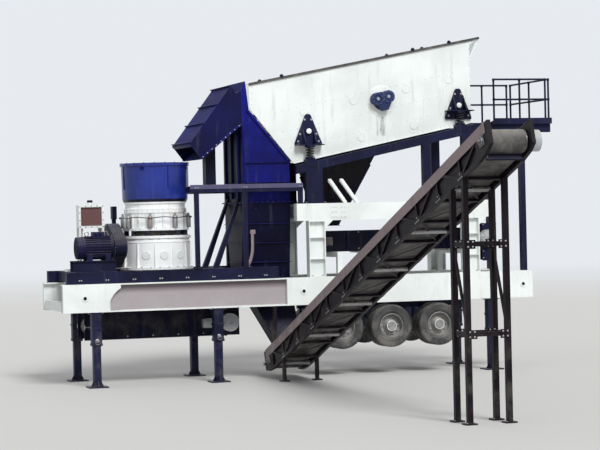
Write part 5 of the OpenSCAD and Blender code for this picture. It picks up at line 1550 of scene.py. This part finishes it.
@dataclass
class LevelBelts:
    """Small parts of the two level belts and of their drives.

    A belt is its tail and head shafts, their height, and its frame's lower and upper edges from that height.
    A motor is how far back from the head shaft its fan stands, and how far out its face does.
    """

    side: float = 0.385
    hood: float = 0.395
    belts: tuple[tuple[float, float, float, float, float], ...] = (
        (0.9, 4.06, 1.33, -0.3, 0.4), (6.56, 10.56, 3.15, -0.25, 0.24),
    )
    motors: tuple[tuple[float, float], ...] = ((0.65, 0.575), (0.62, 0.585))
    side_motor: tuple[float, float, float] = (14.15, 0.63, 0.62)
    hood_x: tuple[float, float] = (10.47, 10.84)
    hood_z: tuple[float, float] = (2.59, 3.48)
    pulley: float = 0.204

    def bearings(self) -> None:
        """Flanged bearings on the frames at the shaft ends that carry no drive."""
        unit = bearing(0.085)
        near, far = unit.turned(Axis.X, 90), unit.turned(Axis.X, -90)
        parts = []
        for x0, x1, z, _, _ in self.belts:
            y = self.hood if x1 > 9 else self.side
            parts += [near.moved(x0, -self.side, z), far.moved(x0, self.side, z), far.moved(x1, y, z)]
        build(joined(parts), "belt_bearings", Slot.CAST, 40)

    def frame_trim(self) -> None:
        """Upright flats and bolts along the frames' side plates, and take-up screws at the tails."""
        flats, heads, screws = [], [], []
        for x0, x1, z, low, high in self.belts:
            for x in np.arange(x0 + 0.45, x1 - 0.85, 0.6):
                flats.append(bars((x, -self.side - 0.03, z + low + 0.012), (x + 0.008, -self.side, z + high)))
                heads += [(x + 0.3, -self.side, z + high - 0.04), (x + 0.3, -self.side, z + low + 0.06)]
            for y in (-self.side - 0.02, self.side + 0.02):
                screws.append(pipe([(x0 - 0.24, y, z), (x0 - 0.08, y, z)], 0.012, 8))
                screws.append(bars((x0 - 0.26, y - 0.035, z - 0.05), (x0 - 0.248, y + 0.035, z + 0.05)))
                screws.append(studs((x0 - 0.248, y, z), Axis.X, 0.022, 0.02))
        build(joined(flats).both_sides(), "frame_flats", Slot.NAVY, bevel=0.001)
        build(bolts(heads, Axis.Y, 0.012, -1).both_sides(), "frame_bolts", Slot.STEEL, 0)
        build(joined(screws), "take_up_screws", Slot.STEEL, 30)

    def rollers(self) -> None:
        """Return rollers under the belts, and scraper blades on a bar below the head pulleys."""
        rods, blades = [], []
        for x0, x1, z, _, _ in self.belts:
            under = z - self.pulley
            for x in np.arange(x0 + 0.8, x1 - 0.5, 1.1):
                rods.append(pipe([(x, -0.36, under - 0.045), (x, 0.36, under - 0.045)], 0.044, 20))
            blades.append(bars((x1 - 0.06, -0.3, under - 0.10), (x1 - 0.048, 0.3, under - 0.002)))
            bar = [(x1 - 0.055, y, under - 0.10) for y in (-0.36, 0.36)]
            blades.append(pipe(bar, 0.02, 12))
        build(joined(rods), "return_rollers", Slot.STEEL, 40)
        build(joined(blades), "belt_scrapers", Slot.DARK, 40)

    def drives(self) -> None:
        """Bolts and fan grilles of the three gear motors."""
        face = bolts(circle(10, 0.16, 0.0), Axis.Z, 0.011, 1) + studs((0, 0, 0.025), Axis.Z, 0.05, 0.012, 24)
        hoops = joined(hoop(r - 0.003, r + 0.003, 0, 0.006, 28) for r in (0.03, 0.055, 0.08))
        grille = hoops.turned(Axis.Y, -90)
        near, far = face.turned(Axis.X, 90), face.turned(Axis.X, -90)
        parts = []
        for (_, x, z, _, _), (back, y) in zip(self.belts, self.motors):
            parts += [near.moved(x, -y, z), grille.moved(x - back, 0.07 - y, z)]
        x, back, y = self.side_motor
        parts.append((far.moved(x, y, 0) + grille.moved(x - back, y - 0.07, 0)).on_conveyor())
        build(joined(parts), "drive_bolts", Slot.STEEL, 30)

    def hood_edges(self) -> None:
        """Folded edges and bolts of the sheet hood round the upper belt's head."""
        y, (x0, x1), (z0, z1) = self.hood, self.hood_x, self.hood_z
        low = [(x0 - 0.008, -y - 0.02, z0), (x0, -y - 0.02, z1), (x0, -y - 0.02, z0 - 0.008)]
        high = [(x0 + 0.004, -y, z1), (x1, -y, z1 + 0.008), (x1, -y, z0 + 0.004)]
        build(bars(low, high).both_sides(), "hood_edges", Slot.DARK)
        spots = [(x, -y, z) for x in (x0 + 0.03, x1 - 0.03) for z in np.arange(z0 + 0.06, z1, 0.16)]
        build(bolts(spots, Axis.Y, 0.01, -1).both_sides(), "belt_hood_bolts", Slot.STEEL, 0)

    def dress(self) -> None:
        """Makes all the level belts' small parts."""
        self.bearings()
        self.frame_trim()
        self.rollers()
        self.drives()
        self.hood_edges()


@dataclass
class SideConveyor:
    """Small parts of the rising side conveyor, drawn with u up its belt and w square to it."""

    length: float = 14.15
    half: float = 0.43
    top: float = 0.274
    low: float = -0.286
    chord: float = 0.07
    panels: int = 12
    strip: float = 0.19
    trestle: tuple[float, float, float] = (5.34, 12.877, 0.3)
    trestle_bars: tuple[float, float] = (1.6, 3.2)

    def edge_strips(self) -> None:
        """Pale strips along the outer top edges, in lengths with a bolted joint between them."""
        ends = np.linspace(-0.2, self.length + 0.2, 7)
        low = [(u + 0.004, -self.half - 0.012, self.top - self.strip) for u in ends[:-1]]
        high = [(u - 0.004, -self.half, self.top + 0.012) for u in ends[1:]]
        cap = bars((ends[0], -self.half - 0.012, self.top), (ends[-1], -self.half + 0.06, self.top + 0.012))
        strips = (bars(low, high) + cap).both_sides().on_conveyor()
        # The strips wear the pale finish, whose colour is partly painted shade
        build(strips, "edge_strips", Slot.CONVEYOR, bevel=0.003, finish=FINISHES.pale)
        spots = places(np.arange(0.0, self.length, 0.4), -self.half - 0.012, self.top - self.strip + 0.035)
        build(bolts(spots, Axis.Y, 0.011, -1).both_sides().on_conveyor(), "strip_bolts", Slot.STEEL, 0)

    def gussets(self) -> None:
        """Bolted gusset plates at the foot of every truss panel."""
        w, y = self.low, -self.half - 0.008
        right = [(0.13, w), (0.13, w + 0.07), (0.06, w + 0.15)]
        outline = [(-0.13, w), *right, (-0.06, w + 0.15), (-0.13, w + 0.07)]
        holes = ((-0.1, 0.035), (-0.035, 0.035), (0.035, 0.035), (0.1, 0.035), (0, 0.11))
        plate = slab(outline, y, -self.half)
        stations = np.arange(1, self.panels) * self.length / self.panels
        heads = [(u + du, y, w + dw) for u in stations for du, dw in holes]
        plates = joined(plate.moved(u) for u in stations)
        build(plates.both_sides().on_conveyor(), "truss_gussets", Slot.CONVEYOR, bevel=0.002)
        build(bolts(heads, Axis.Y, 0.011, -1).both_sides().on_conveyor(), "truss_bolts", Slot.STEEL, 0)

    def idlers(self) -> None:
        """Rubber skirts along the belt with their clamps, more rollers under it, and return rollers."""
        skirt = bars((0.25, -0.34, self.top - 0.05), (self.length - 0.4, -0.328, self.top + 0.05))
        build(skirt.both_sides().on_conveyor(), "belt_skirts", Slot.BELT)
        low = places(np.arange(0.5, self.length - 0.5, 0.75), -self.half + 0.02, self.top)
        clamp = bars(low, low + (0.05, 0.075, 0.012)) + bars(low + (0, 0.065, 0), low + (0.05, 0.077, 0.07))
        build(clamp.both_sides().on_conveyor(), "skirt_clamps", Slot.CONVEYOR)
        stations = (np.arange(self.panels) + 0.5) * self.length / self.panels
        rods = [pipe([(u, -0.36, 0.13), (u, 0.36, 0.13)], 0.05, 18) for u in stations]
        rods += [pipe([(u, -0.36, -0.255), (u, 0.36, -0.255)], 0.045, 18) for u in stations[::2]]
        build(joined(rods).on_conveyor(), "belt_rollers", Slot.STEEL, 40)

    def ends(self) -> None:
        """Bearings at both shafts, take-up screws at the tail and a scraper at the head."""
        unit = bearing(0.085)
        near, far = unit.turned(Axis.X, 90), unit.turned(Axis.X, -90)
        parts = near.moved(0, -self.half) + far.moved(0, self.half) + near.moved(self.length, -self.half)
        build(parts.on_conveyor(), "conveyor_bearings", Slot.CAST, 40)
        screws = []
        for y in (-self.half - 0.025, self.half + 0.025):
            screws.append(pipe([(-0.3, y, 0), (-0.09, y, 0)], 0.013, 8))
            screws.append(bars((-0.315, y - 0.03, -0.05), (-0.3, y + 0.03, 0.05)))
            screws.append(studs((-0.3, y, 0), Axis.X, 0.024, 0.022))
        build(joined(screws).on_conveyor(), "conveyor_screws", Slot.STEEL, 30)
        u = self.length - 0.1
        blade = bars((u, -0.31, -0.30), (u + 0.012, 0.31, -0.206))
        bar = pipe([(u + 0.006, y, -0.3) for y in (-0.36, 0.36)], 0.022, 12)
        build((blade + bar).on_conveyor(), "conveyor_scraper", Slot.DARK, 40)

    def underside(self) -> None:
        """Flat diagonals between the trusses' lower chords, by turns one way and the other."""
        pitch = self.length / self.panels
        y, w = self.half - self.chord, self.low + 0.03
        quads = np.array([[0, 3, 2, 1], [4, 5, 6, 7], [0, 1, 5, 4], [1, 2, 6, 5], [2, 3, 7, 6], [3, 0, 4, 7]])
        flats = []
        for i in range(1, self.panels - 1):
            side = y if i % 2 else -y
            start, end = np.array([i * pitch, -side]), np.array([(i + 1) * pitch, side])
            across = np.array([start[1] - end[1], end[0] - start[0]]) / np.linalg.norm(end - start) * 0.02
            corners = [start - across, end - across, end + across, start + across]
            flats.append(Shell(np.array([(*p, z) for z in (w - 0.004, w + 0.004) for p in corners]), [quads]))
        build(joined(flats).on_conveyor(), "truss_diagonals", Slot.CONVEYOR)

    def trestle_parts(self) -> None:
        """Gussets and bolts where the trestle's bars meet its posts, and anchor bolts through its feet."""
        x, y, gap = self.trestle
        posts = [(x + side * (self.half - 0.05), -side) for side in (-1, 1)]
        rows = (-y - gap, -y + gap)
        plates, heads, feet = [], [], []
        for post, inward in posts:
            reach = post + inward * 0.16
            for row in rows:
                for z in self.trestle_bars:
                    low = (min(post, reach), row - 0.058, z - 0.08)
                    plates.append(bars(low, (max(post, reach), row - 0.05, z + 0.08)))
                    spots = [(dx, dz) for dx in (0.02, 0.11) for dz in (-0.045, 0.045)]
                    heads += [(post + inward * dx, row - 0.058, z + dz) for dx, dz in spots]
                feet += [(post + dx, row + dy, 0.03) for dx in (-0.085, 0.085) for dy in (-0.085, 0.085)]
        build(joined(plates), "trestle_plates", Slot.CONVEYOR, bevel=0.002)
        build(bolts(heads, Axis.Y, 0.012, -1) + bolts(feet, Axis.Z, 0.013, 1), "trestle_bolts", Slot.STEEL, 0)

    def dress(self) -> None:
        """Makes all the conveyor's small parts."""
        self.edge_strips()
        self.gussets()
        self.idlers()
        self.ends()
        self.underside()
        self.trestle_parts()


@dataclass
class Platform:
    """Grating, rail feet and rail collars of the feed platform."""

    floor: float = 5.89
    ends: tuple[float, float] = (10.48, 12.0)
    rail_y: float = 1.19
    posts: tuple[float, ...] = (10.524, 11.19, 11.856)

    def grating(self) -> None:
        """Upright flats across the platform's floor, with cross rods."""
        x0, x1 = self.ends
        low = places(np.arange(x0 + 0.02, x1 - 0.02, 0.035), -1.22, self.floor)
        flats = bars(low, low + (0.005, 2.44, 0.025))
        low = places(x0 + 0.01, np.arange(-1.2, 1.2, 0.1), self.floor + 0.012)
        build(flats + bars(low, low + (1.49, 0.006, 0.006)), "platform_grating", Slot.DARK, 0)

    def rail_feet(self) -> None:
        """Square plates with bolts under the handrail's posts, and collars on its joints."""
        spots = [(x, y, self.floor) for x in self.posts for y in (-self.rail_y, self.rail_y)]
        spots += [(11.95, y, self.floor) for y in (-1.166, 0.0, 1.166)]
        low = np.array(spots) - (0.05, 0.04, 0)
        build(bars(low, low + (0.1, 0.08, 0.035)), "rail_feet", Slot.DARK, bevel=0.003)
        heads = [(x + dx, y, z + 0.035) for x, y, z in spots for dx in (-0.036, 0.036)]
        build(bolts(heads, Axis.Z, 0.008, 1), "rail_bolts", Slot.STEEL, 0)
        collar = lathe([(0.001, -0.03), (0.031, -0.03), (0.031, 0.03), (0.001, 0.03)], 16)
        collars = [collar.moved(x, y, z + rise) for x, y, z in spots for rise in (0.546, 1.018)]
        build(joined(collars), "rail_collars", Slot.DARK, 40)

    def dress(self) -> None:
        """Makes the platform's small parts."""
        self.grating()
        self.rail_feet()


# Studio


@dataclass
class Studio:
    """Plain pale floor, backdrop, soft lamps and the camera at the photograph's station."""

    backdrop: tuple[float, float, float] = (0.80, 0.83, 0.87)
    floor: tuple[float, float, float] = (0.66, 0.655, 0.64)
    sky: float = 0.44
    lamps: tuple[tuple[str, float, float, tuple[float, float, float]], ...] = (
        ("key", 2.4, 20.0, (2.0, -20.0, 17.0)),
        ("fill", 0.2, 60.0, (-16.0, -12.0, 10.0)),
        ("back", 0.35, 60.0, (4.0, 18.0, 14.0)),
    )
    camera: tuple[float, float, float] = (-9.007, -48.3, 3.8)
    aim: tuple[float, float, float] = (5.98, 0.0, 3.55)
    lens: float = 127.6
    roll: float = 1.33

    def seen(self, graph: Graph) -> Wire:
        """1 for rays from the camera, mirrors and glass."""
        kinds = ("Is Camera Ray", "Is Glossy Ray", "Is Transmission Ray")
        camera, mirror, glass = (graph.node("ShaderNodeLightPath", output=kind) for kind in kinds)
        return camera.at_least(mirror).at_least(glass)

    def lay_floor(self) -> None:
        """A wide round floor whose far part fades into the backdrop: rings about Z, widening outwards."""
        radii, steps = (0.01, 12.0, 40.0, 120.0, 400.0), 96
        points = turned_points([(radius, 0.0) for radius in radii], steps)
        mesh = bpy.data.meshes.new("floor")
        mesh.from_pydata(points.tolist(), [], skin(len(radii), steps)[:, ::-1].tolist())
        piece = bpy.data.objects.new("floor", mesh)
        bpy.context.collection.objects.link(piece)
        g = Graph("floor")
        grain = g.noise(30.0, 4.0, 0.6)
        tone = g.mix(grain.rise(0.3, 0.7), tuple(c * 0.985 for c in self.floor), self.floor)
        diffuse = g.node("ShaderNodeBsdfDiffuse", {}, {"Color": tone})
        glow = g.node("ShaderNodeEmission", {}, {"Color": self.backdrop, "Strength": 1.0})
        flat = g.vector("MULTIPLY", g.place, (1.0, 1.0, 0.0))
        away = g.node("ShaderNodeVectorMath", {"operation": "LENGTH"}, {0: flat}, output="Value")
        share = away.rise(34.0, 110.0) * self.seen(g)
        both = g.node("ShaderNodeMixShader", {}, {0: share, 1: diffuse, 2: glow})
        g.node("ShaderNodeOutputMaterial", {}, {"Surface": both})
        mesh.materials.append(g.material)

    def light(self) -> None:
        """An even pale sky, a broad lamp from the front, a weak one from the left and one from behind."""
        world = bpy.data.worlds.new("studio")
        bpy.context.scene.world = world
        world.use_nodes = True
        nodes, links = world.node_tree.nodes, world.node_tree.links
        nodes.clear()
        kinds = ("LightPath", "Math", "Background", "Background", "MixShader", "OutputWorld")
        rays, seen, glow, lit, both, out = (nodes.new(f"ShaderNode{kind}") for kind in kinds)
        seen.operation = "MAXIMUM"
        glow.inputs["Color"].default_value = (*self.backdrop, 1.0)
        lit.inputs["Color"].default_value = (0.96, 0.98, 1.0, 1.0)
        lit.inputs["Strength"].default_value = self.sky
        links.new(rays.outputs["Is Camera Ray"], seen.inputs[0])
        links.new(rays.outputs["Is Glossy Ray"], seen.inputs[1])
        for i, source in enumerate((seen, lit, glow)):
            links.new(source.outputs[0], both.inputs[i])
        links.new(both.outputs[0], out.inputs["Surface"])
        for name, strength, angle, source in self.lamps:
            lamp = bpy.data.lights.new(name, "SUN")
            lamp.energy = strength
            lamp.angle = math.radians(angle)
            thing = bpy.data.objects.new(name, lamp)
            thing.rotation_mode = "QUATERNION"
            thing.rotation_quaternion = Vector(source).to_track_quat("Z", "Y")
            bpy.context.collection.objects.link(thing)

    def place_camera(self) -> None:
        """The photograph's station and direction, with a longer lens so that the plant fills the frame."""
        data = bpy.data.cameras.new("camera")
        data.lens, data.sensor_width, data.clip_end = self.lens, 36.0, 1000.0
        thing = bpy.data.objects.new("camera", data)
        station, aim = Vector(self.camera) + Vector(ORIGIN), Vector(self.aim) + Vector(ORIGIN)
        thing.matrix_world = (aim - station).to_track_quat("-Z", "Y").to_matrix().to_4x4()
        thing.rotation_euler.rotate_axis("Z", math.radians(-self.roll))
        thing.location = station
        bpy.context.collection.objects.link(thing)
        bpy.context.scene.camera = thing

    def set_up(self) -> None:
        """Makes the whole studio."""
        bpy.context.scene.view_settings.view_transform = "Standard"
        self.lay_floor()
        self.light()
        self.place_camera()


def main() -> None:
    """Dresses the nodes, makes the small parts and sets up the studio."""
    logging.basicConfig(level=logging.INFO, format="%(name)s: %(message)s")
    FINISHES.dress_nodes()
    chassis, crushing = (Chassis, RunningGear), (Crusher, Drive, Walkway, Chute)
    screening, belts = (Portal, Screen, Hopper), (LevelBelts, SideConveyor, Platform)
    for assembly in (*chassis, *crushing, *screening, *belts):
        assembly().dress()
    Studio().set_up()


if __name__ == "__main__":
    main()
